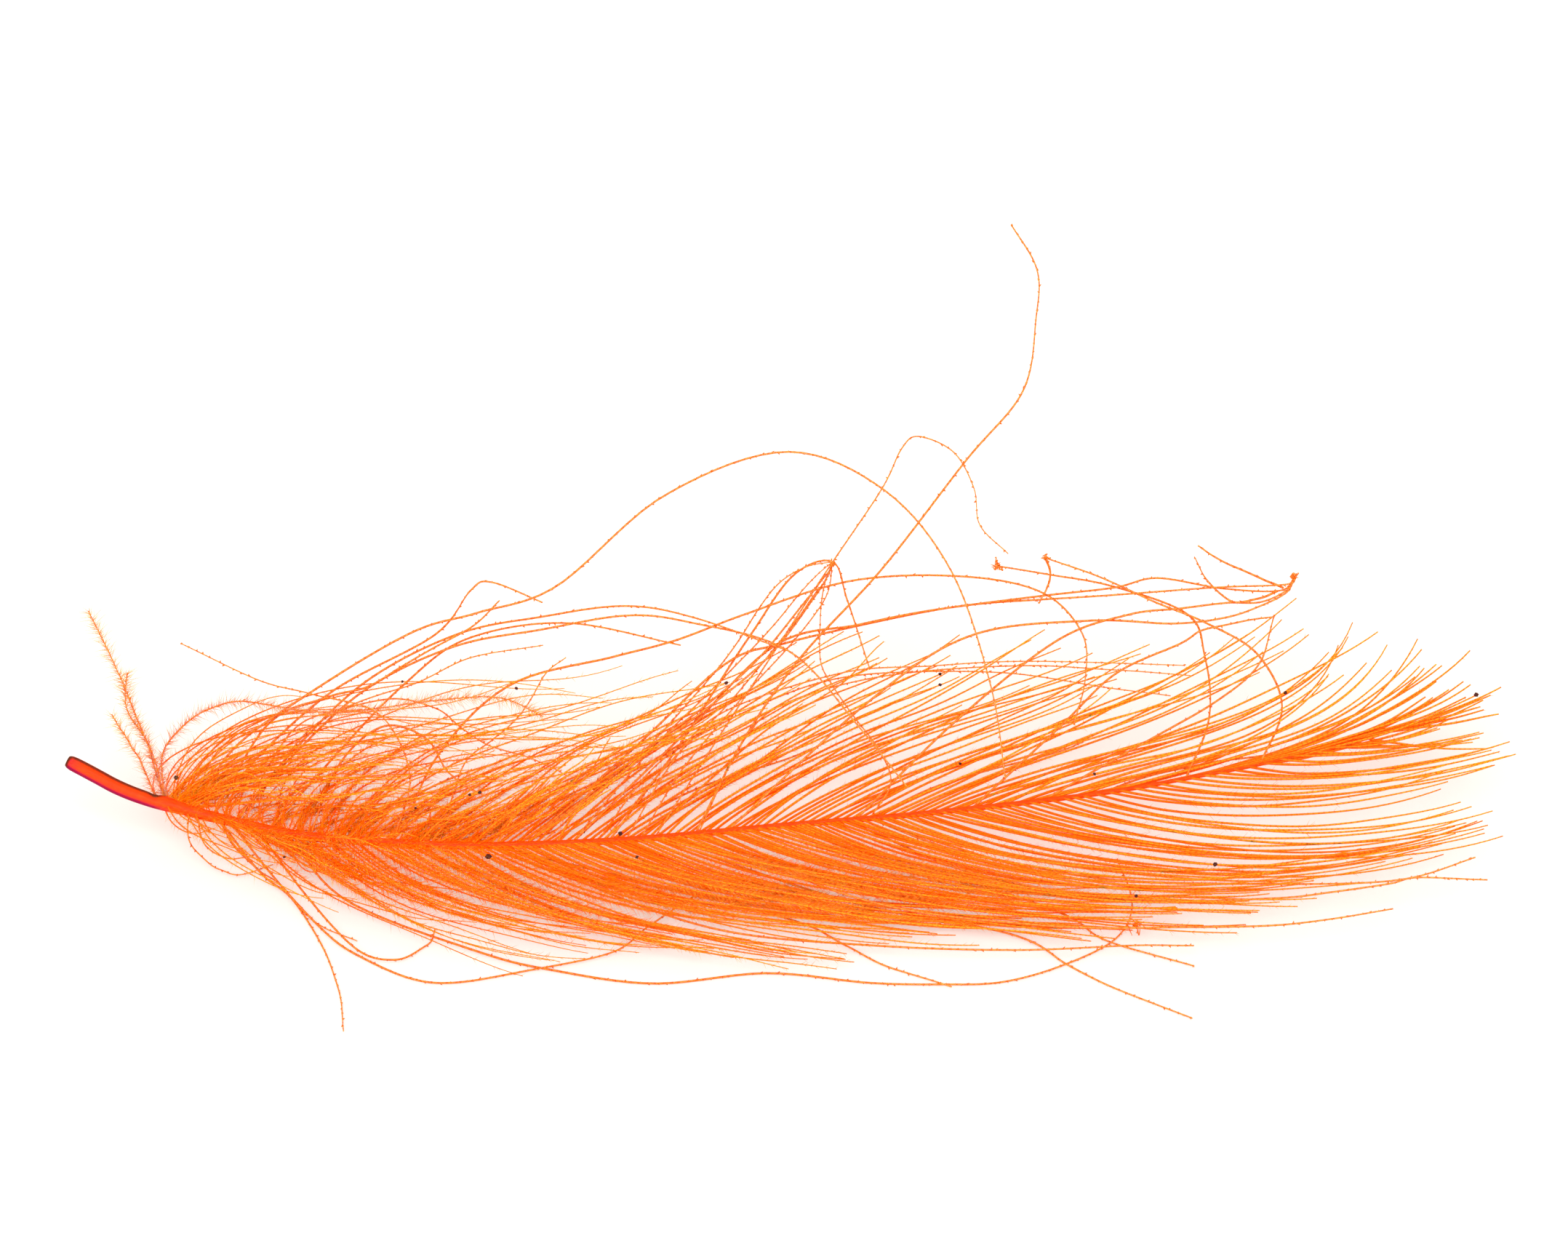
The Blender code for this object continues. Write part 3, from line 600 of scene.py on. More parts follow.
# For each keratin the colours of root, tip and beads, the strength of the beads, their distance as a
# share of the setting, and the scale of the mottling
KERATINS = {
    "quill_keratin": ("quill", "deep", "bead", 0.25, 1.0, 700.0),
    "barb_keratin": ("deep", "bright", "bead", 0.65, 1.0, 900.0),
    "barbule_keratin": ("fill", "haze", "bead", 0.0, 1.0, 900.0),
    "loose_keratin": ("loose", "loose_end", "loose_bead", 0.6, 1.5, 900.0),
    "bead_keratin": ("loose_bead", "loose", "loose_bead", 0.0, 1.0, 900.0),
    "hair_keratin": ("hair", "haze", "hair", 0.0, 1.0, 900.0),
    "knot_keratin": ("loose", "deep", "bead", 0.5, 1.0, 900.0),
    "dust": ("dust", "dust_tint", "dust", 0.0, 1.0, 4000.0),
}
# Gloss of keratin, and how far light wanders in it, in all and as shares for red, green and blue
KERATIN_SHADER = {
    "Specular IOR Level": 0.04,
    "Subsurface Weight": 1.0,
    "Subsurface Scale": 0.05 * MM,
    "Subsurface Radius": (1.0, 0.25, 0.04),
}
# Inputs of the dye group with their defaults, how much a barb's tone shifts its dyes, how unevenly its
# beads stand, and the factor and offset that make beads of a sine and roughness of the noise
DYE_INPUTS = {
    "Root Dye": (0.9, 0.1, 0.0, 1),
    "Tip Dye": (0.9, 0.2, 0.0, 1),
    "Bead Dye": (0.3, 0.03, 0.0, 1),
    "Along": 0.0,
    "Tone": 0.5,
    "Run": 0.0,
    "Bead Step": 0.19,
    "Beads": 0.5,
    "Mottle Scale": 900.0,
    "Mottle": 0.5,
}
TONE_WEIGHT = 0.8
BEAD_WOBBLE = 1.2
BEAD_SHAPE = (1.6, -0.6)
ROUGHNESS = (0.3, 0.35)

# Stage: half the floor's width, the lamp and the camera, m, and the point that it looks at, table mm
FLOOR_HALF = 1.5
LAMP_SIZE = 0.5
LAMP_PLACE = (-0.06, -0.34, 0.46)
SENSOR = 36.0
CLIP = (0.01, 10.0)
AIM = (0.0, 9.0, 3.0)


def tuned(name, **words):
    """A length property in metres."""
    return FloatProperty(name=name, unit="LENGTH", precision=6, **words)


def dye(name, description, default):
    """A colour property."""
    return FloatVectorProperty(
        name=name, description=description, subtype="COLOR", size=3, min=0.0, max=1.0, default=default
    )


class FeatherSizes(bpy.types.PropertyGroup):
    """Sizes of the barbs and barbules."""

    barb_width: tuned("Barb width", description="Width of a barb at its root", default=0.082 * MM)
    barb_tip: tuned("Barb tip", description="Width of a barb at its tip", default=0.036 * MM)
    loose_width: tuned("Loose barb width", description="Width of a loose barb", default=0.084 * MM)
    loose_tip: tuned("Loose barb tip", description="Width of a loose barb's tip", default=0.052 * MM)
    barbule_length: tuned("Barbule length", description="Length of a barbule", default=0.50 * MM)
    barbule_width: tuned("Barbule width", description="Width of a barbule's root", default=0.021 * MM)
    barbule_step: tuned("Barbule step", description="From one barbule to the next", default=0.0165 * MM)
    bead_step: tuned("Bead step", description="Distance between a barb's dark beads", default=0.19 * MM)
    barbs: IntProperty(name="Barbs", description="Barbs in one vane", default=155, min=20, max=200)
    seed: IntProperty(name="Seed", description="Start of the random variation", default=7)


class FeatherColours(bpy.types.PropertyGroup):
    """Colours of the dyed keratin."""

    deep: dye("Deep dye", "Colour at the root of a barb", (0.95, 0.085, 0.0))
    bright: dye("Bright dye", "Colour at the tip of a barb", (0.90, 0.240, 0.010))
    fill: dye("Inner barbule", "Colour of the barbules close to the shaft", (0.985, 0.110, 0.0))
    haze: dye("Outer barbule", "Colour of the barbules at the tip of a barb", (0.98, 0.265, 0.05))
    loose: dye("Loose barb", "Colour of the loose barbs", (0.72, 0.145, 0.018))
    bead: dye("Bead", "Colour of the beads along a barb", (0.62, 0.060, 0.002))
    loose_end: dye("Loose barb end", "Colour of the loose barbs at their tips", (0.68, 0.21, 0.045))
    loose_bead: dye("Loose bead", "Colour of the beads along a loose barb", (0.46, 0.060, 0.006))
    hair: dye("Hair", "Colour of the long barbules round the strands at the base", (0.60, 0.15, 0.09))
    quill: dye("Quill", "Colour of the bare quill", (0.80, 0.034, 0.001))
    # Painted shade on the quill: a dark line along its upper edge, dark round the cut end, at the navel
    # and in the pit
    dark_shade: dye("Dark_shade", "Colour of the rim and the upper edge of the quill", (0.07, 0.010, 0.002))
    # Painted shade on the quill: a crimson line along its lower edge and at the cut end
    flush: dye("Crimson_shade", "Colour of the lower edge of the quill", (0.22, 0.0, 0.035))
    dust: dye("Dust", "Colour of the specks", (0.05, 0.012, 0.008))
    dust_tint: dye("Dust tint", "Second colour of the specks", (0.02, 0.03, 0.015))


class StageSettings(bpy.types.PropertyGroup):
    """Floor, light and camera."""

    floor: dye("Floor", "Colour of the floor", (0.325, 0.315, 0.305))
    glow: dye("Floor glow", "Light that comes up through it, as on a light table", (0.52, 0.40, 0.345))
    sky: FloatProperty(name="Sky", description="Strength of the even light from all round", default=1.25)
    lamp: FloatProperty(name="Lamp", description="Power of the large lamp above, in watts", default=5.6)
    elevation: FloatProperty(
        name="Camera elevation",
        description="Angle of the view above the floor",
        subtype="ANGLE",
        default=np.pi / 4,
    )
    distance: tuned("Camera distance", description="From the middle of the view", default=0.6)
    frame_width: tuned("Frame width", description="Width of the view at that distance", default=0.055)


def through(points, count):
    """A Catmull-Rom curve through the points, at count even steps of its parameter."""
    known = np.asarray(points, float)
    known = np.vstack([2 * known[0] - known[1], known, 2 * known[-1] - known[-2]])
    step = np.linspace(0, len(known) - 3, count)
    first = np.minimum(step.astype(int), len(known) - 4)
    part = (step - first)[:, None]
    a, b, c, d = (known[first + k] for k in range(4))
    bend = (2 * a - 5 * b + 4 * c - d) * part + (3 * b - a - 3 * c + d) * part**2
    return 0.5 * (2 * b + (c - a + bend) * part)


SHAFT_CURVE = through(SHAFT, SHAFT_STEPS)


def keyed(table, x):
    """Each column of the table after the first, interpolated at x in its first column."""
    known = np.asarray(table, float)
    return [np.interp(x, known[:, 0], known[:, k]) for k in range(1, known.shape[1])]


def along(table, x):
    """The second column of the table, interpolated at x in its first."""
    return np.interp(x, *zip(*table))


def shaft_at(x):
    """Centre and radius of the shaft at each x."""
    return np.stack([np.asarray(x, float), *keyed(SHAFT_CURVE, x)], -1)


def even_share(index, salt):
    """A fixed share between -1 and 1 for each lock, the same as in the solid."""
    return 2 * np.modf(np.abs(np.sin(index * 12.9898 + salt * 78.233)) * 43758.5453)[0] - 1


def ease(value):
    """Three times the square less twice the cube of the value, held between 0 and 1."""
    held = np.clip(value, 0, 1)
    return held * held * (3 - 2 * held)


def ramp(x, stretch):
    """The ease from 0 at the start of the stretch to 1 at its end."""
    return ease((x - stretch[0]) / (stretch[1] - stretch[0]))


def bell(distance, width, power=2):
    """One over e to the power of the distance, counted in widths, raised to the power."""
    return np.exp(-((distance / width) ** power))


def lobe(turn, power):
    """The cosine of the angle, nought where it is negative, raised to the power."""
    return np.maximum(np.cos(turn), 0) ** power


def varied(pair, wild):
    """The first of the pair plus the second times the wildness."""
    return pair[0] + pair[1] * wild


def unit(vectors):
    """The vectors at length 1."""
    return vectors / np.maximum(np.linalg.norm(vectors, axis=-1, keepdims=True), 1e-9)


def run_along(paths):
    """Distance from the root to each point of each path: the running sum of the steps."""
    steps = np.linalg.norm(np.diff(paths, axis=1), axis=2)
    return np.hstack([np.zeros((len(paths), 1)), np.cumsum(steps, 1)])


def swept_plan(root_x, side, length, angle, share):
    """Plan of barbs whose angle from the shaft is known at each share of the length: the running sum
    of the heading times the step. Returns the shaft's centre and radius at the roots too."""
    root = shaft_at(root_x)
    ahead = shaft_at(root_x + 0.3) - shaft_at(root_x - 0.3)
    forth = unit(ahead[:, :2])
    out = np.stack([-forth[:, 1], forth[:, 0]], 1) * side
    middle = np.radians(angle[:, 1:] + angle[:, :-1]) / 2
    step = np.diff(share, axis=1) * length
    start = np.zeros((len(root_x), 1))
    forward = np.hstack([start, np.cumsum(np.cos(middle) * step, 1)])[..., None]
    outward = np.hstack([start, np.cumsum(np.sin(middle) * step, 1)])[..., None]
    return root[:, None, :2] + forward * forth[:, None] + outward * out[:, None], root


def spaced_roots(count, closeness):
    """The x of evenly numbered roots: the running sum of the closeness along the shaft, inverted."""
    x = np.linspace(FIRST_BARB, LAST_BARB, SHAFT_STEPS)
    total = np.cumsum(along(closeness, x))
    return np.interp(np.linspace(total[0], total[-1], count), total, x)


def gathered(paths, share, most, begins, rng):
    """Draws neighbouring barbs together in small groups: past a share of the length each moves towards
    the mean path of its group, and its tip comes free again."""
    sizes = rng.choice(GROUP_SIZES, len(paths))
    group = np.repeat(np.arange(len(sizes)), sizes)[: len(paths)]
    member = (group[None, :] == np.arange(group[-1] + 1)[:, None]).astype(float)
    mean = np.tensordot(member / member.sum(1, keepdims=True), paths, (1, 0))[group]
    begin = rng.uniform(*begins, len(sizes))[group][:, None]
    strength = rng.uniform(*PULL_STRENGTH, len(sizes))[group][:, None] * most
    freed = TIPS_FREED * ease((share - 0.8) / 0.2)
    pull = strength * ease((share - begin) / PULL_SPAN) * (1 - freed)
    return paths + (mean - paths) * pull[..., None]


def barb_roots(vane, count, rng):
    """The x of the roots of the even barbs, the downy ones, the fan at the base and the one at the tip.
    Returns those of the even ones alone, all of them, and the kind of each."""
    downy, fanned, ending = vane["downy"], vane["fan"], vane["spray"]
    even = spaced_roots(count, vane["close"]) + rng.uniform(-ROOT_SCATTER, ROOT_SCATTER, count)
    soft = rng.triangular(FIRST_ROOT - 0.3, vane["down_peak"], vane["down_end"], downy)
    bunch = rng.triangular(FIRST_BARB, FIRST_ROOT, FIRST_ROOT + FAN_SPAN, fanned)
    spray = rng.uniform(LAST_ROOT - SPRAY_SPAN, LAST_BARB, ending)
    kind = np.repeat(np.arange(4), (count, downy, fanned, ending))[:, None]
    return even, np.concatenate([even, soft, bunch, spray]), kind


def vane_barbs(name, count, seed):
    """Centrelines of the barbs of one vane, then of its downy barbs and of the fans, on the vane's own
    curves: the angle falls from the first to the second by a power of what is left of the length,
    waves, and curls at the tip; the height rises by a power of the share. Returns the roots, shares
    and tones too."""
    vane = VANES[name]
    side = vane["side"]
    count = round(count * vane["barbs"])
    rng = np.random.default_rng(seed + side)
    even, root_x, kind = barb_roots(vane, count, rng)
    down, fan, last = (kind == number for number in (1, 2, 3))
    x = root_x[:, None]
    one = x.shape
    share = np.tile(np.linspace(0, 1, BARB_RINGS) ** RING_SPREAD, (len(x), 1))
    wild = np.where(down, DOWNY_WILD, np.where(fan, FAN_WILD, along(vane["wild"], x)))
    lock = (x - FIRST_ROOT) / LOCK_SPACING
    locks = np.arange(-1, LOCKS + 1)
    longer, wider = (np.interp(lock, locks, even_share(locks, salt)) for salt in (side, side + 5))
    apart = np.clip(rng.normal(size=(7, *one)), -FARTHEST, FARTHEST)
    mixed = x + vane["mix"] * apart[6] * ramp(x, MIXES)
    length, leave, reach, bend, rise, curl, turn = keyed(vane["curves"], mixed)

    cut = np.where(down, rng.uniform(*DOWNY_CUT, one), 1)
    short = (side < 0) & (x < SHORT_END) & (rng.uniform(size=one) < SHORT_SHARE)
    cut = np.where(short, rng.uniform(*SHORT_CUT, one), cut)
    cut = np.where(fan, rng.uniform(*FAN_CUT, one), cut)
    leave = np.where(short, SHORT_ANGLE * leave, leave)
    leave = np.where(fan, rng.uniform(*FAN_ANGLE, one), leave)
    bend = np.where(fan, rng.uniform(*FAN_BEND, one), bend)
    length = np.where(last, rng.uniform(*SPRAY_LENGTH, one), length)
    reach = np.where(last, rng.uniform(*SPRAY_REACH, one), reach)
    length = length * cut * (1 + LENGTH_SPREAD * longer)
    strayed = varied(LENGTH_STRAY, wild) * apart[0] - LENGTH_LOSS
    length = length * (1 + np.clip(strayed, SHORTEST, along(LONGEST, x)))
    stunted = rng.uniform(size=one) < STUNTED_SHARE
    stunted &= (side > 0) & (np.abs(x - STUNTED_MIDDLE) < STUNTED_SPAN)
    length = length * np.where(stunted, rng.uniform(*STUNTED_CUT, one), 1)

    flatter = ramp(x, FLATTENS) * (side < 0)
    astray = LEAVE_STRAY + along(vane["astray"], x) * wild
    leave = np.minimum(leave - FLATTER_LEAVE * flatter + astray * apart[1], WIDEST_ANGLE)
    reach = reach + FLATTER_REACH * flatter + 0.5 * REACH_SPREAD * wider
    reach = reach + varied(REACH_STRAY, wild) * apart[2]
    bend = bend * np.exp(BEND_STRAY * apart[3])
    waves = rng.uniform(*WAVES, one) * share + rng.uniform(0, 1, one)
    wave = varied(WAVE_STRAY, wild) * np.sin(2 * np.pi * waves) * share
    straight = (rng.uniform(size=one) < along(STRAIGHT_SHARE, x)) & (side > 0) & (x > STRAIGHT_FROM)
    curled = np.where(straight, STRAIGHT_CURL, rng.uniform(along(CURL_LEAST, x), CURL_MOST))
    curled = curled * (1 + CURL_STRAY * apart[4])
    reach = reach + np.where(straight, rng.uniform(*STRAIGHT_REACH, one), 0)
    bend = np.where(straight, rng.uniform(*STRAIGHT_BEND, one), bend)
    angle = reach + wave + (leave - reach) * (1 - share) ** bend + turn * curled * share**CURL_POWER
    plan, root = swept_plan(root_x, side, length, angle, share)

    begun = np.minimum(share / BEGIN, 1)
    stepped = SHELF * (1 - FADED * ramp(x, SHELF_FADES))
    shelf = -stepped * np.cos(np.pi * lock) * begun * (1 - 0.6 * share)
    layer = rng.uniform(-LAYER, LAYER, one) * begun * (1 - 0.5 * share)
    lift = LIFT * wild * apart[5] * np.sin(np.pi * share * rng.uniform(*LIFT_WAVES, one))
    rise = rise * np.where(down | fan, cut**CUT_RISE, 1)
    height = root[:, None, 2] + ROOT_RISE * root[:, None, 3] * (1 - begun)
    height = height + rise * share**RISE_POWER + curl * share**CURL_POWER + shelf + layer + lift
    paths = np.concatenate([plan, height[..., None]], 2)
    most = vane["pull"] * ramp(even, PULL_GROWS) * (1 - FADED * ramp(even, PULL_FADES))
    most = most[:, None]
    paths[:count] = gathered(paths[:count], share[:count], most, vane["gather"], rng)
    paths[..., 2] = np.maximum(paths[..., 2], LOWEST)
    return paths, root_x, share, np.clip(0.5 + TONE_SPREAD * rng.normal(size=len(root_x)), 0, 1)


def filament_copy(path, root_x, slide, share, rng):
    """A filament that starts further along the shaft, closes up with the first one towards the tip,
    and bows away from it in between by half a sine."""
    moved = shaft_at(root_x + slide)[:3] - shaft_at(root_x)[:3]
    bow = rng.normal(0, 0.3, 3) * np.sin(np.pi * share)
    return path + moved * (1 - share) ** 1.3 + bow


def loose_barbs(seed):
    """Centrelines of the loose barbs: curves through the stations, copies beside some of them, and a
    fine ripple on all. Returns the names too."""
    rng = np.random.default_rng(seed + 50)
    share = np.linspace(0, 1, LOOSE_RINGS)[:, None]
    names, paths = [], []
    for name, stations in {**FILAMENTS, **FINE_FILAMENTS}.items():
        copies, spread, used = BUNDLES.get(name, (0, 0.0, 0))
        rows = [through(stations, LOOSE_RINGS)]
        beside = through(stations[:used], LOOSE_RINGS) if copies else None
        slides = np.linspace(-0.5, 0.5, copies + 2)[1:-1] * spread if copies else ()
        rows += [filament_copy(beside, stations[0][0], slide, share, rng) for slide in slides]
        names += [name] * len(rows)
        paths += rows
    paths = np.array(paths)
    ripple = np.array([through(rng.normal(0, RIPPLE, (9, 3)), LOOSE_RINGS) for _ in paths])
    paths += ripple * np.sqrt(np.sin(np.pi * share))
    paths[..., 2] = np.maximum(paths[..., 2], LOOSE_LOWEST)
    return names, paths


def tube_points(paths, wide, tall, sides):
    """Rings of points round each path: an ellipse across the heading at every station."""
    heading = unit(np.gradient(paths, axis=1))
    across = np.cross(heading, (0, 0, 1.0))
    steep = np.linalg.norm(across, axis=2, keepdims=True) < 0.05
    across = unit(np.where(steep, (0, -1.0, 0), across))
    upward = np.cross(across, heading)
    turn = (np.arange(sides) + 0.5) * 2 * np.pi / sides
    sideways = across[:, :, None] * (wide[..., None, None] / 2) * np.cos(turn)[:, None]
    updown = upward[:, :, None] * (tall[..., None, None] / 2) * np.sin(turn)[:, None]
    return paths[:, :, None] + sideways + updown


def tube_faces(count, rings, sides):
    """Walls and end caps of count tubes, as one array of quads and one of caps."""
    base = np.arange(count)[:, None, None] * rings * sides
    ring = np.arange(rings - 1)[None, :, None] * sides
    here = np.arange(sides)[None, None, :]
    after = (here + 1) % sides
    low = base + ring
    high = low + sides
    walls = np.stack([low + here, high + here, high + after, low + after], -1).reshape(-1, 4)
    first = (np.arange(count) * rings * sides)[:, None] + np.arange(sides)[None, :]
    last = first[:, ::-1] + (rings - 1) * sides
    return walls, np.vstack([first, last])


def placed(name, data):
    """Makes an object of the data in the scene."""
    made = bpy.data.objects.new(name, data)
    bpy.context.scene.collection.objects.link(made)
    return made


def add_piece(name, points, groups, values, material):
    """Makes a mesh object from points in table millimetres, groups of faces and named point values,
    and lets it ride with the solid in place of which it is seen."""
    mesh = bpy.data.meshes.new(name)
    points = ((points.reshape(-1, 3) - ORIGIN) * MM).astype(np.float32)
    corners = np.concatenate([group.reshape(-1) for group in groups]).astype(np.int32)
    sizes = np.concatenate([np.full(len(group), group.shape[1]) for group in groups])
    starts = np.concatenate([[0], np.cumsum(sizes)[:-1]]).astype(np.int32)
    mesh.vertices.add(len(points))
    mesh.vertices.foreach_set("co", points.ravel())
    mesh.loops.add(len(corners))
    mesh.loops.foreach_set("vertex_index", corners)
    mesh.polygons.add(len(sizes))
    mesh.polygons.foreach_set("loop_start", starts)
    mesh.update(calc_edges=True)
    mesh.polygons.foreach_set("use_smooth", np.ones(len(sizes), bool))
    for key, value in values.items():
        layer = mesh.attributes.new(key, "FLOAT", "POINT")
        layer.data.foreach_set("value", value.astype(np.float32).ravel())
    if mesh.validate():
        raise RuntimeError(f"{name} has faces that Blender had to repair")
    mesh.materials.append(material)
    piece = placed(name, mesh)
    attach(piece, "root")
    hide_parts("feather")


def node(tree, kind, **settings):
    """Adds a shader node and sets its properties."""
    made = tree.nodes.new(kind)
    for key, value in settings.items():
        setattr(made, key, value)
    return made


def feed(tree, made, values):
    """Links each named or numbered input of a node to its value, or sets it where the value is plain."""
    for key, value in values.items():
        if isinstance(value, bpy.types.NodeSocket):
            tree.links.new(value, made.inputs[key])
        else:
            made.inputs[key].default_value = value


def reckon(tree, operation, *terms, clamp=False):
    """Adds a math node whose inputs are sockets or numbers, and returns its result."""
    made = node(tree, "ShaderNodeMath", operation=operation, use_clamp=clamp)
    feed(tree, made, dict(enumerate(terms)))
    return made.outputs[0]


def blend(tree, share, first, second):
    """Adds a mix of two colours by a share and returns its result."""
    made = node(tree, "ShaderNodeMix", data_type="RGBA")
    feed(tree, made, {"Factor": share, "A": first, "B": second})
    return made.outputs["Result"]


def dye_group():
    """A node group that mixes two dyes along a barb, shifts each barb by its own tone, mottles both and
    darkens evenly spaced beads along the run of the barb."""
    found = bpy.data.node_groups.get("dye_variation")
    if found:
        return found
    tree = bpy.data.node_groups.new("dye_variation", "ShaderNodeTree")
    for name, default in DYE_INPUTS.items():
        kind = "NodeSocketColor" if isinstance(default, tuple) else "NodeSocketFloat"
        tree.interface.new_socket(name=name, in_out="INPUT", socket_type=kind).default_value = default
    tree.interface.new_socket(name="Color", in_out="OUTPUT", socket_type="NodeSocketColor")
    tree.interface.new_socket(name="Roughness", in_out="OUTPUT", socket_type="NodeSocketFloat")
    start = node(tree, "NodeGroupInput").outputs
    noise = node(tree, "ShaderNodeTexNoise", noise_dimensions="3D")
    place = node(tree, "ShaderNodeTexCoord").outputs["Object"]
    feed(tree, noise, {"Detail": 3.0, "Vector": place, "Scale": start["Mottle Scale"]})
    grain = noise.outputs["Fac"]
    mottle = reckon(tree, "MULTIPLY", reckon(tree, "SUBTRACT", grain, 0.5), start["Mottle"])
    tone = reckon(tree, "SUBTRACT", start["Tone"], 0.5)
    toned = reckon(tree, "MULTIPLY_ADD", tone, TONE_WEIGHT, start["Along"])
    share = reckon(tree, "ADD", toned, mottle, clamp=True)
    turns = reckon(tree, "DIVIDE", start["Run"], start["Bead Step"])
    shifted = reckon(tree, "MULTIPLY_ADD", grain, BEAD_WOBBLE, turns)
    pulse = reckon(tree, "SINE", reckon(tree, "MULTIPLY", shifted, 2 * np.pi))
    pulse = reckon(tree, "MULTIPLY_ADD", pulse, *BEAD_SHAPE, clamp=True)
    bead = reckon(tree, "MULTIPLY", pulse, start["Beads"])
    dyed = blend(tree, share, start["Root Dye"], start["Tip Dye"])
    colour = blend(tree, bead, dyed, start["Bead Dye"])
    rough = reckon(tree, "MULTIPLY_ADD", grain, *ROUGHNESS)
    feed(tree, node(tree, "NodeGroupOutput"), {"Color": colour, "Roughness": rough})
    return tree


def keratin(name, context):
    """Dyed keratin by its row in the table: the group's colour and roughness on a Principled shader,
    with the point values along, tone and run."""
    colours = context.scene.feather_colours
    root, tip, bead, beads, spacing, scale = KERATINS[name]
    made = bpy.data.materials.new(name)
    made.use_nodes = True
    tree = made.node_tree
    group = node(tree, "ShaderNodeGroup", node_tree=dye_group())
    for socket, key in (("Root Dye", root), ("Tip Dye", tip), ("Bead Dye", bead)):
        feed(tree, group, {socket: (*getattr(colours, key), 1)})
    step = spacing * context.scene.feather_sizes.bead_step / MM
    feed(tree, group, {"Beads": beads, "Bead Step": step, "Mottle Scale": scale})
    for socket in ("Along", "Tone", "Run"):
        value = node(tree, "ShaderNodeAttribute", attribute_name=socket.lower())
        feed(tree, group, {socket: value.outputs["Fac"]})
    paint = {"Base Color": group.outputs["Color"], "Roughness": group.outputs["Roughness"]}
    feed(tree, tree.nodes["Principled BSDF"], {**KERATIN_SHADER, **paint})
    return made


def add_strands(name, paths, wide, tall, share, tone, material):
    """Makes one piece of tubes along the paths. Its point values are the given share, the strand's tone
    and the distance from its root."""
    count, rings = share.shape
    values = {
        "along": np.repeat(share[..., None], BARB_SIDES, 2),
        "tone": np.broadcast_to(tone[:, None, None], (count, rings, BARB_SIDES)),
        "run": np.repeat(run_along(paths)[..., None], BARB_SIDES, 2),
    }
    points = tube_points(paths, wide, tall, BARB_SIDES)
    add_piece(name, points, tube_faces(count, rings, BARB_SIDES), values, material)


def quill_shades(x, turn):
    """Strengths of the painted dark shade and of the painted crimson shade on the shaft. The dark one is
    full at the cut end, on a line along the upper far edge of the bare quill and on a spot at the upper
    navel, the crimson one along the lower near edge. Each fades as a bell of the distance or as a lobe
    of the angle from it."""
    bare = ease((x - BARE_FROM) / 0.5) * ease((BARE_TO - x) / 1.6)
    rim = 1.1 * bell(x - RIM_X, 0.10, 4)
    upper = 1.1 * lobe(turn - UPPER_EDGE, 8) * bare
    navel = bell(x - NAVEL_X, 0.16) * lobe(turn - UPPER_EDGE, 3)
    lower = 1.6 * lobe(turn - LOWER_EDGE, 8) * bare + 0.5 * bell(x - QUILL_END, 0.3)
    return np.clip(rim + upper + navel, 0, 1), np.clip(lower, 0, 1)


class FEATHER_OT_shaft(bpy.types.Operator):
    """Builds the quill and the shaft in one tapered tube with a hollow cut end"""

    bl_idname = "feather.shaft"
    bl_label = "Quill and shaft"

    def execute(self, context):
        colours = context.scene.feather_colours
        seed = context.scene.feather_sizes.seed
        path = through(SHAFT, SHAFT_RINGS)
        order = np.array([row for row, _ in PIT] + list(range(SHAFT_RINGS)))
        radius = np.array([size for _, size in PIT] + list(path[:, 3]))
        wide = np.full((1, SHAFT_RINGS), 2.0)
        rings = tube_points(path[None, :, :3], wide, wide, QUILL_SIDES)
        centre = path[order, None, :3]
        x = path[order, 0][:, None]
        turn = ((np.arange(QUILL_SIDES) + 0.5) * 2 * np.pi / QUILL_SIDES)[None, :]
        navel = 1 - 0.22 * bell(x - NAVEL_X, 0.2) * lobe(turn - DENT, 6)
        blunt = 1 - 0.3 * np.exp(-(x - QUILL_END) / 0.08)
        points = centre + (rings[0, order] - centre) * (radius[:, None] * navel * blunt)[..., None]
        # Masks of the painted dark and crimson shade along the quill's edges and at its cut end
        dark_shade, flush = quill_shades(x, turn)
        # Painted shade in the pit of the cut end
        dark_shade[: len(PIT)] = PIT_SHADE
        even = np.ones_like(dark_shade)
        values = {
            "along": 0.1 * ramp(x, SHAFT_PALES) * even,
            "tone": np.random.default_rng(seed).uniform(0.1, 0.9, QUILL_SIDES) * even,
            "run": 0.3 * x * even,
            "dark_shade": dark_shade,
            "flush": flush,
        }
        material = keratin("quill_keratin", context)
        tree = material.node_tree
        shader = tree.nodes["Principled BSDF"]
        feed(tree, shader, {"Coat Weight": 0.02})
        # Mixes the painted edge shade into the quill's colour
        for key, colour in (("flush", colours.flush), ("dark_shade", colours.dark_shade)):
            mask = node(tree, "ShaderNodeAttribute", attribute_name=key).outputs["Fac"]
            plain = shader.inputs["Base Color"].links[0].from_socket
            feed(tree, shader, {"Base Color": blend(tree, mask, plain, (*colour, 1))})
        add_piece("shaft", points, tube_faces(1, len(order), QUILL_SIDES), values, material)
        return {"FINISHED"}


def barb_width(share, root, tip):
    """Width along a barb: it narrows with the power 0.7 of the distance that is left."""
    return tip + (root - tip) * (1 - share) ** 0.7


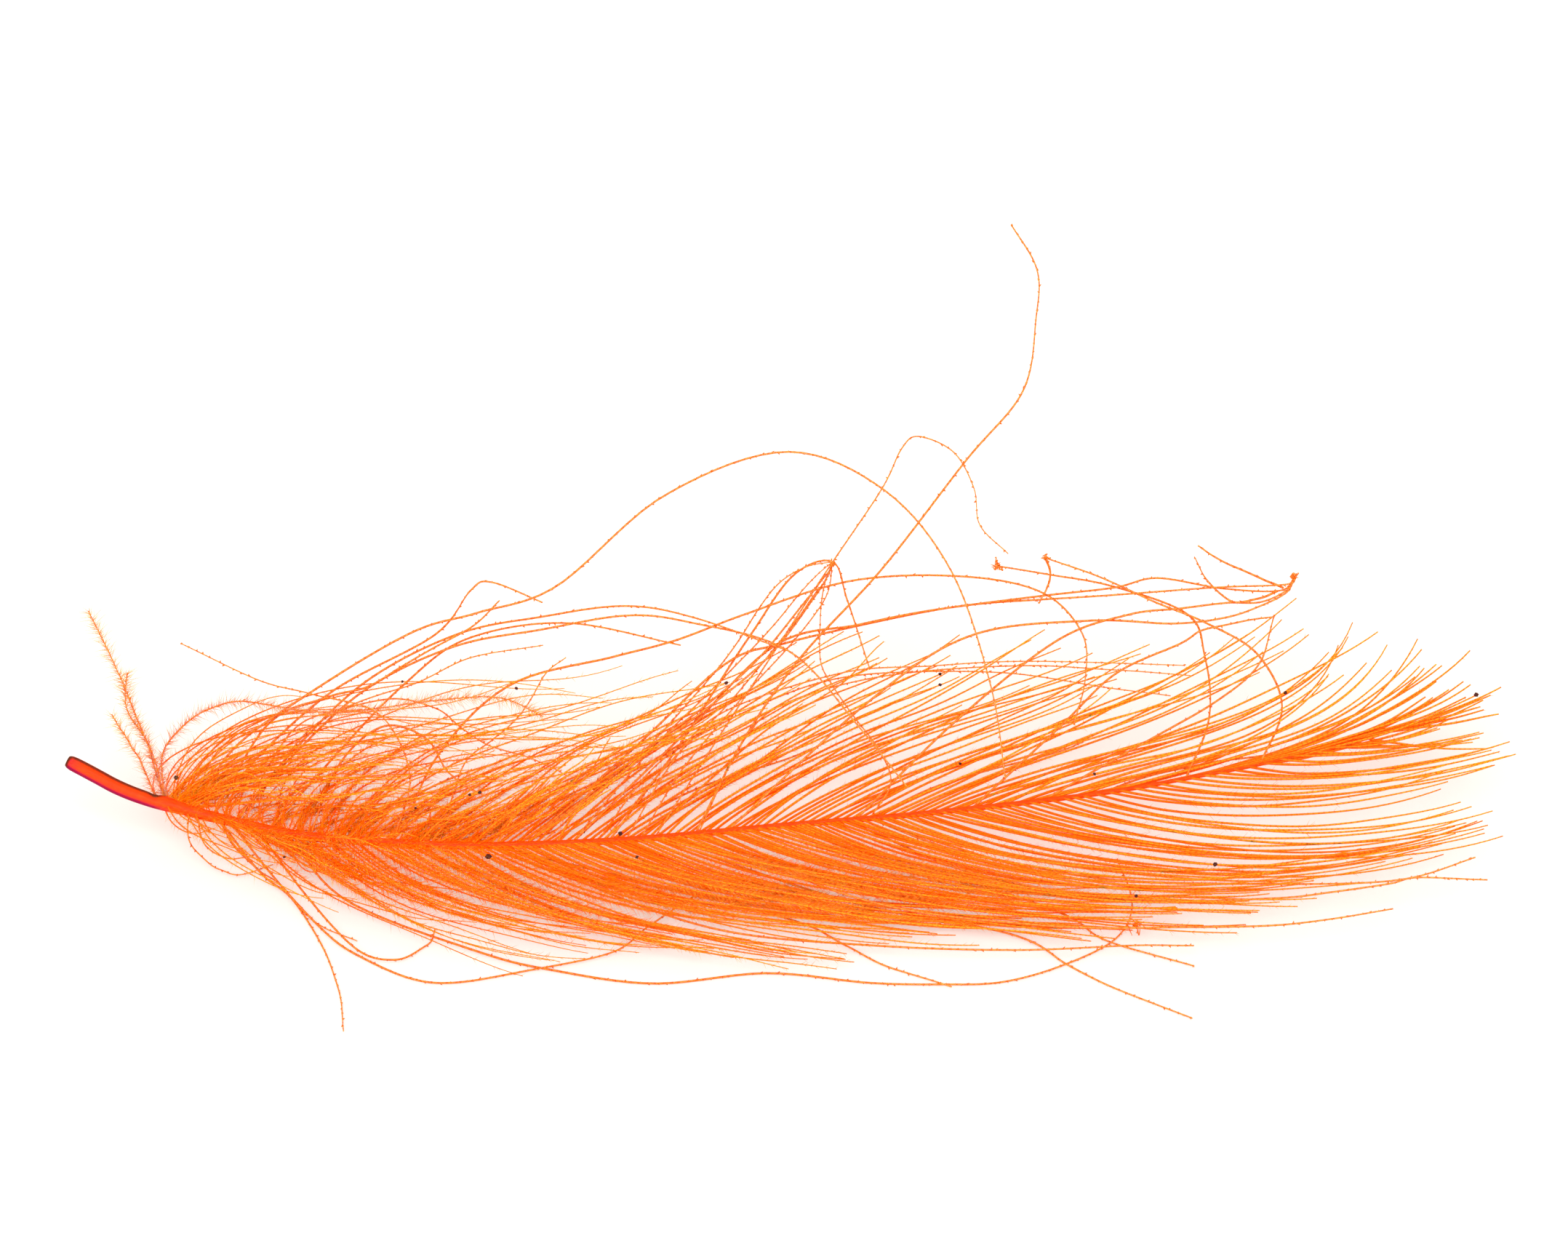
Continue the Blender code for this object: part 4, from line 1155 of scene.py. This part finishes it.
class FEATHER_OT_barbs(bpy.types.Operator):
    """Builds the barbs of both vanes, each a tapered strand"""

    bl_idname = "feather.barbs"
    bl_label = "Barbs"

    def execute(self, context):
        sizes = context.scene.feather_sizes
        material = keratin("barb_keratin", context)
        for name, vane in VANES.items():
            paths, root_x, share, tone = vane_barbs(name, sizes.barbs, sizes.seed)
            fine = along((*BARB_WIDTHS, (TIP_X, vane["tip_width"])), root_x)[:, None]
            wide = fine * barb_width(share, sizes.barb_width / MM, sizes.barb_tip / MM)
            paling = np.interp(root_x, PALING_X, vane["paling"])[:, None]
            add_strands(f"{name}_barbs", paths, wide, 1.2 * wide, paling * share**0.6, tone, material)
        return {"FINISHED"}


def barbule_roots(paths, step, ends, rng):
    """Points at even steps along each path between two distances from its ends, with a little scatter:
    the place, the heading, the share of the length and the path's number."""
    places, headings, shares, owners = [], [], [], []
    for number, (path, distance) in enumerate(zip(paths, run_along(paths))):
        spots = np.arange(ends[0], distance[-1] - ends[1], step)
        spots = spots + rng.uniform(-0.3, 0.3, len(spots)) * step
        before, here, after = (
            np.stack([np.interp(spots + away, distance, path[:, k]) for k in range(3)], 1)
            for away in (-0.1, 0, 0.1)
        )
        places.append(here)
        headings.append(after - before)
        shares.append(spots / distance[-1])
        owners.append(np.full(len(spots), number))
    place, heading, share, owner = (np.concatenate(v) for v in (places, headings, shares, owners))
    return place, unit(heading), share, owner


def barbule_spikes(roots, headings, hand, length, width, lean, flare, rng):
    """A closed spike of four faces for each barbule. It leans from the heading by an angle in degrees to
    its own hand, and out of the plane of the vane by a random angle of the given spread."""
    count = len(roots)
    across = unit(np.cross(headings, (0, 0, 1.0)))
    upward = np.cross(across, headings)
    lean = np.radians(lean)
    tilt = rng.normal(0, flare, count)
    outward = across * (hand * np.cos(tilt))[:, None] + upward * np.sin(tilt)[:, None]
    axis = headings * np.cos(lean)[:, None] + outward * np.sin(lean)[:, None]
    tip = roots + axis * length[:, None]
    tip[:, 2] = np.maximum(tip[:, 2], 0.02)
    first = unit(np.cross(axis, outward))
    second = np.cross(axis, first)
    turn = np.arange(3) * 2 * np.pi / 3
    ring = first[:, None] * np.cos(turn)[:, None] + second[:, None] * np.sin(turn)[:, None]
    half = (np.zeros(count) + width / 2)[:, None, None]
    points = np.concatenate([roots[:, None] + ring * half, tip[:, None]], 1)
    start = np.arange(count)[:, None] * 4
    corners = (0, 2, 1), (0, 1, 3), (1, 2, 3), (2, 0, 3)
    return points, np.concatenate([start + np.array(corner) for corner in corners])


def spike_values(where, tone):
    """Point values of spikes: the share along the barb that carries them and the barb's tone."""
    keys = {"along": where, "tone": tone, "run": 0 * where}
    return {key: np.repeat(value[:, None], 4, 1) for key, value in keys.items()}


class FEATHER_OT_barbules(bpy.types.Operator):
    """Builds the barbules of both vanes, thousands of tiny spikes along the barbs"""

    bl_idname = "feather.barbules"
    bl_label = "Barbules"

    def execute(self, context):
        sizes = context.scene.feather_sizes
        material = keratin("barbule_keratin", context)
        for name, vane in VANES.items():
            paths, root_x, _, tone = vane_barbs(name, sizes.barbs, sizes.seed)
            tables = vane["fill"], SOFTNESS, THIN_FROM, BARE_ROOT
            fill, soft, thin, bare = (along(table, root_x) for table in tables)
            paling = np.interp(root_x, PALING_X, vane["paling"])
            rng = np.random.default_rng(sizes.seed + 20 + len(name))
            order = np.argsort(root_x)
            half = len(order) // 2
            step = sizes.barbule_step / MM
            for part, rows in (("base", order[:half]), ("tip", order[half:])):
                place, heading, where, owner = barbule_roots(paths[rows], step, BARE_ENDS, rng)
                barb = rows[owner]
                thinned = THINNED * ease((where - thin[barb]) / THIN_SPAN)
                thick = (0.4 + 0.6 * fill[barb]) * (1 - thinned) * (1 - SOFT_FEWER * soft[barb])
                kept = rng.uniform(size=len(place)) < thick
                place, heading, where, barb = (v[kept] for v in (place, heading, where, barb))
                hand = rng.choice((-1.0, 1.0), len(place))
                long = rng.uniform(size=len(place)) < LONG_SHARE
                full = np.where(long, np.maximum(fill[barb], LONG_FILL), fill[barb])
                reach = sizes.barbule_length / MM * full * rng.uniform(*BARBULE_SPREAD, len(place))
                shortened = bare[barb] * (1 - ease(where / BARE_SPAN))
                reach = reach * (1 - 0.5 * where**2) * (1 - shortened)
                width = sizes.barbule_width / MM * (1 - SOFT_FINER * soft[barb])
                lean = rng.uniform(*BARBULE_LEAN, len(place)) + SOFT_LEAN * soft[barb]
                flare = BARBULE_FLARE
                points, faces = barbule_spikes(place, heading, hand, reach, width, lean, flare, rng)
                values = spike_values(paling[barb] * where, tone[barb])
                add_piece(f"{name}_barbules_{part}", points, (faces,), values, material)
        return {"FINISHED"}


class FEATHER_OT_loose(bpy.types.Operator):
    """Builds the loose barbs, and the beads and the hairs along them"""

    bl_idname = "feather.loose"
    bl_label = "Loose barbs"

    def execute(self, context):
        sizes = context.scene.feather_sizes
        names, paths = loose_barbs(sizes.seed)
        rng = np.random.default_rng(sizes.seed + 90)
        share = np.tile(np.linspace(0, 1, LOOSE_RINGS), (len(paths), 1))
        fine = np.array([THIN_WIDTH if name in FINE else 1.0 for name in names])[:, None]
        wide = barb_width(share, sizes.loose_width / MM, sizes.loose_tip / MM) * fine
        tone = rng.uniform(0.2, 0.8, len(paths))
        material = keratin("loose_keratin", context)
        add_strands("loose_barbs", paths, wide, wide, 0.7 * share, tone, material)
        hairy = np.array([name in HAIRY for name in names])
        for kind, (on_hairy, step, least, most, width, flare) in FRINGES.items():
            paint = keratin(f"{kind[:-1]}_keratin", context)
            rows = hairy == on_hairy
            place, heading, where, owner = barbule_roots(paths[rows], step, FRINGE_ENDS, rng)
            hand = rng.choice((-1.0, 1.0), len(place))
            reach = rng.uniform(least, most, len(place))
            lean = rng.uniform(*FRINGE_LEAN, len(place))
            points, faces = barbule_spikes(place, heading, hand, reach, width, lean, flare, rng)
            add_piece(f"loose_{kind}", points, (faces,), spike_values(where, tone[rows][owner]), paint)
        return {"FINISHED"}


class FEATHER_OT_knots(bpy.types.Operator):
    """Builds the knots where barbs have tangled, each a ball of short curved strands"""

    bl_idname = "feather.knots"
    bl_label = "Knots"

    def execute(self, context):
        rng = np.random.default_rng(context.scene.feather_sizes.seed + 130)
        share = np.linspace(0, 1, KNOT_RINGS)[None, :, None]
        paths = []
        for x, y, z, radius in KNOTS:
            start, bow, end = rng.normal(size=(3, KNOT_STRANDS, 1, 3)) * (0.45 * radius)
            middle = np.array((x, y, max(z, radius)))
            paths.append(middle + start * (1 - share) + end * share + bow * np.sin(np.pi * share))
        paths = np.concatenate(paths)
        paths[..., 2] = np.maximum(paths[..., 2], LOOSE_LOWEST)
        even = np.tile(share[..., 0], (len(paths), 1))
        wide = KNOT_WIDTH * np.sin(np.pi * (0.1 + 0.85 * even))
        tone = rng.uniform(0, 0.8, len(paths))
        add_strands("knots", paths, wide, wide, 0 * even, tone, keratin("knot_keratin", context))
        return {"FINISHED"}


def nearest_barb_point(u, v, points):
    """Of the barbs' points that lie about nearest to a pixel of the photograph, seen along its view,
    the one in front."""
    across = PIXEL_ZERO[0] + points[:, 0] * PIXELS_PER_MM
    down = PIXEL_ZERO[1] - (points[:, 1] + points[:, 2] - SUM_ZERO) * np.sqrt(0.5) * PIXELS_PER_MM
    away = (across - u) ** 2 + (down - v) ** 2
    close = away < 2 * (3 + np.sqrt(np.min(away))) ** 2
    return points[np.argmax(np.where(close, points[:, 2] - points[:, 1], -np.inf))]


class FEATHER_OT_dust(bpy.types.Operator):
    """Builds the specks of dust that are caught on the barbs"""

    bl_idname = "feather.dust"
    bl_label = "Dust"

    def execute(self, context):
        sizes = context.scene.feather_sizes
        rng = np.random.default_rng(sizes.seed + 170)
        barbs = np.concatenate([vane_barbs(name, sizes.barbs, sizes.seed)[0] for name in VANES])
        barbs = barbs.reshape(-1, 3)
        height = np.linspace(0.999, -0.999, SPECK_RINGS)
        turn = np.arange(SPECK_SIDES) * 2 * np.pi / SPECK_SIDES
        specks = []
        for u, v, radius in DUST:
            lump = 1.25 * radius * rng.uniform(0.75, 1.2, (SPECK_RINGS, SPECK_SIDES))
            across = np.sqrt(1 - height**2)[:, None] * lump
            upward = height[:, None] * lump * 0.8
            shape = np.stack([across * np.cos(turn), across * np.sin(turn), upward], -1)
            specks.append(nearest_barb_point(u, v, barbs) + (0, -0.3 * radius, 0.5 * radius) + shape)
        points = np.array(specks)
        blank = np.zeros(points.shape[:3])
        values = {"along": blank, "tone": blank + 0.3, "run": blank}
        faces = tube_faces(len(points), SPECK_RINGS, SPECK_SIDES)
        add_piece("dust_specks", points, faces, values, keratin("dust", context))
        return {"FINISHED"}


class FEATHER_OT_stage(bpy.types.Operator):
    """Builds the floor, the light and the camera"""

    bl_idname = "feather.stage"
    bl_label = "Floor, light and camera"

    def execute(self, context):
        stage = context.scene.feather_stage
        mesh = bpy.data.meshes.new("floor")
        corners = ((-1, -1), (1, -1), (1, 1), (-1, 1))
        mesh.from_pydata([(x * FLOOR_HALF, y * FLOOR_HALF, 0) for x, y in corners], [], [(0, 1, 2, 3)])
        paint = bpy.data.materials.new("floor_white")
        paint.use_nodes = True
        tree = paint.node_tree
        shader = tree.nodes["Principled BSDF"]
        feed(tree, shader, {"Base Color": (*stage.floor, 1), "Emission Color": (*stage.glow, 1)})
        feed(tree, shader, {"Emission Strength": 1.0, "Roughness": 1.0, "Specular IOR Level": 0.0})
        mesh.materials.append(paint)
        floor = placed("floor", mesh)
        world = bpy.data.worlds.new("studio")
        context.scene.world = world
        world.use_nodes = True
        tree = world.node_tree
        feed(tree, tree.nodes["Background"], {"Color": (1, 1, 1, 1), "Strength": stage.sky})
        light = bpy.data.lights.new("softbox", "AREA")
        light.shape = "DISK"
        light.size = LAMP_SIZE
        light.energy = stage.lamp
        lamp = placed("softbox", light)
        lamp.location = LAMP_PLACE
        lamp.rotation_euler = (-lamp.location).to_track_quat("-Z", "Y").to_euler()
        view = bpy.data.cameras.new("camera")
        view.sensor_width = SENSOR
        view.lens = view.sensor_width * stage.distance / stage.frame_width
        view.clip_start, view.clip_end = CLIP
        camera = placed("camera", view)
        aim = (np.array(AIM) - ORIGIN) * MM
        back = np.array((0.0, -np.cos(stage.elevation), np.sin(stage.elevation)))
        camera.location = aim + back * stage.distance
        camera.rotation_euler = Vector(-back).to_track_quat("-Z", "Y").to_euler()
        context.scene.camera = camera
        context.scene.view_settings.view_transform = "Standard"
        context.scene.cycles.diffuse_bounces = 12
        return {"FINISHED"}


BUILDERS = (
    FEATHER_OT_shaft,
    FEATHER_OT_barbs,
    FEATHER_OT_barbules,
    FEATHER_OT_loose,
    FEATHER_OT_knots,
    FEATHER_OT_dust,
    FEATHER_OT_stage,
)


class FEATHER_PT_panel(bpy.types.Panel):
    """Lists the builders and their settings"""

    bl_idname = "FEATHER_PT_panel"
    bl_label = "Feather"
    bl_space_type = "VIEW_3D"
    bl_region_type = "UI"
    bl_category = "Feather"

    def draw(self, context):
        scene = context.scene
        for group in (scene.feather_sizes, scene.feather_colours, scene.feather_stage):
            box = self.layout.box()
            for key in group.__annotations__:
                box.prop(group, key)
        for builder in BUILDERS:
            self.layout.operator(builder.bl_idname)


CLASSES = (FeatherSizes, FeatherColours, StageSettings, *BUILDERS, FEATHER_PT_panel)


def register():
    for entry in CLASSES:
        bpy.utils.register_class(entry)
    bpy.types.Scene.feather_sizes = PointerProperty(type=FeatherSizes)
    bpy.types.Scene.feather_colours = PointerProperty(type=FeatherColours)
    bpy.types.Scene.feather_stage = PointerProperty(type=StageSettings)


def unregister():
    del bpy.types.Scene.feather_stage
    del bpy.types.Scene.feather_colours
    del bpy.types.Scene.feather_sizes
    for entry in reversed(CLASSES):
        bpy.utils.unregister_class(entry)


def main():
    """Builds every piece in order."""
    register()
    bpy.ops.feather.shaft()
    bpy.ops.feather.barbs()
    bpy.ops.feather.barbules()
    bpy.ops.feather.loose()
    bpy.ops.feather.knots()
    bpy.ops.feather.dust()
    bpy.ops.feather.stage()


if __name__ == "__main__":
    main()
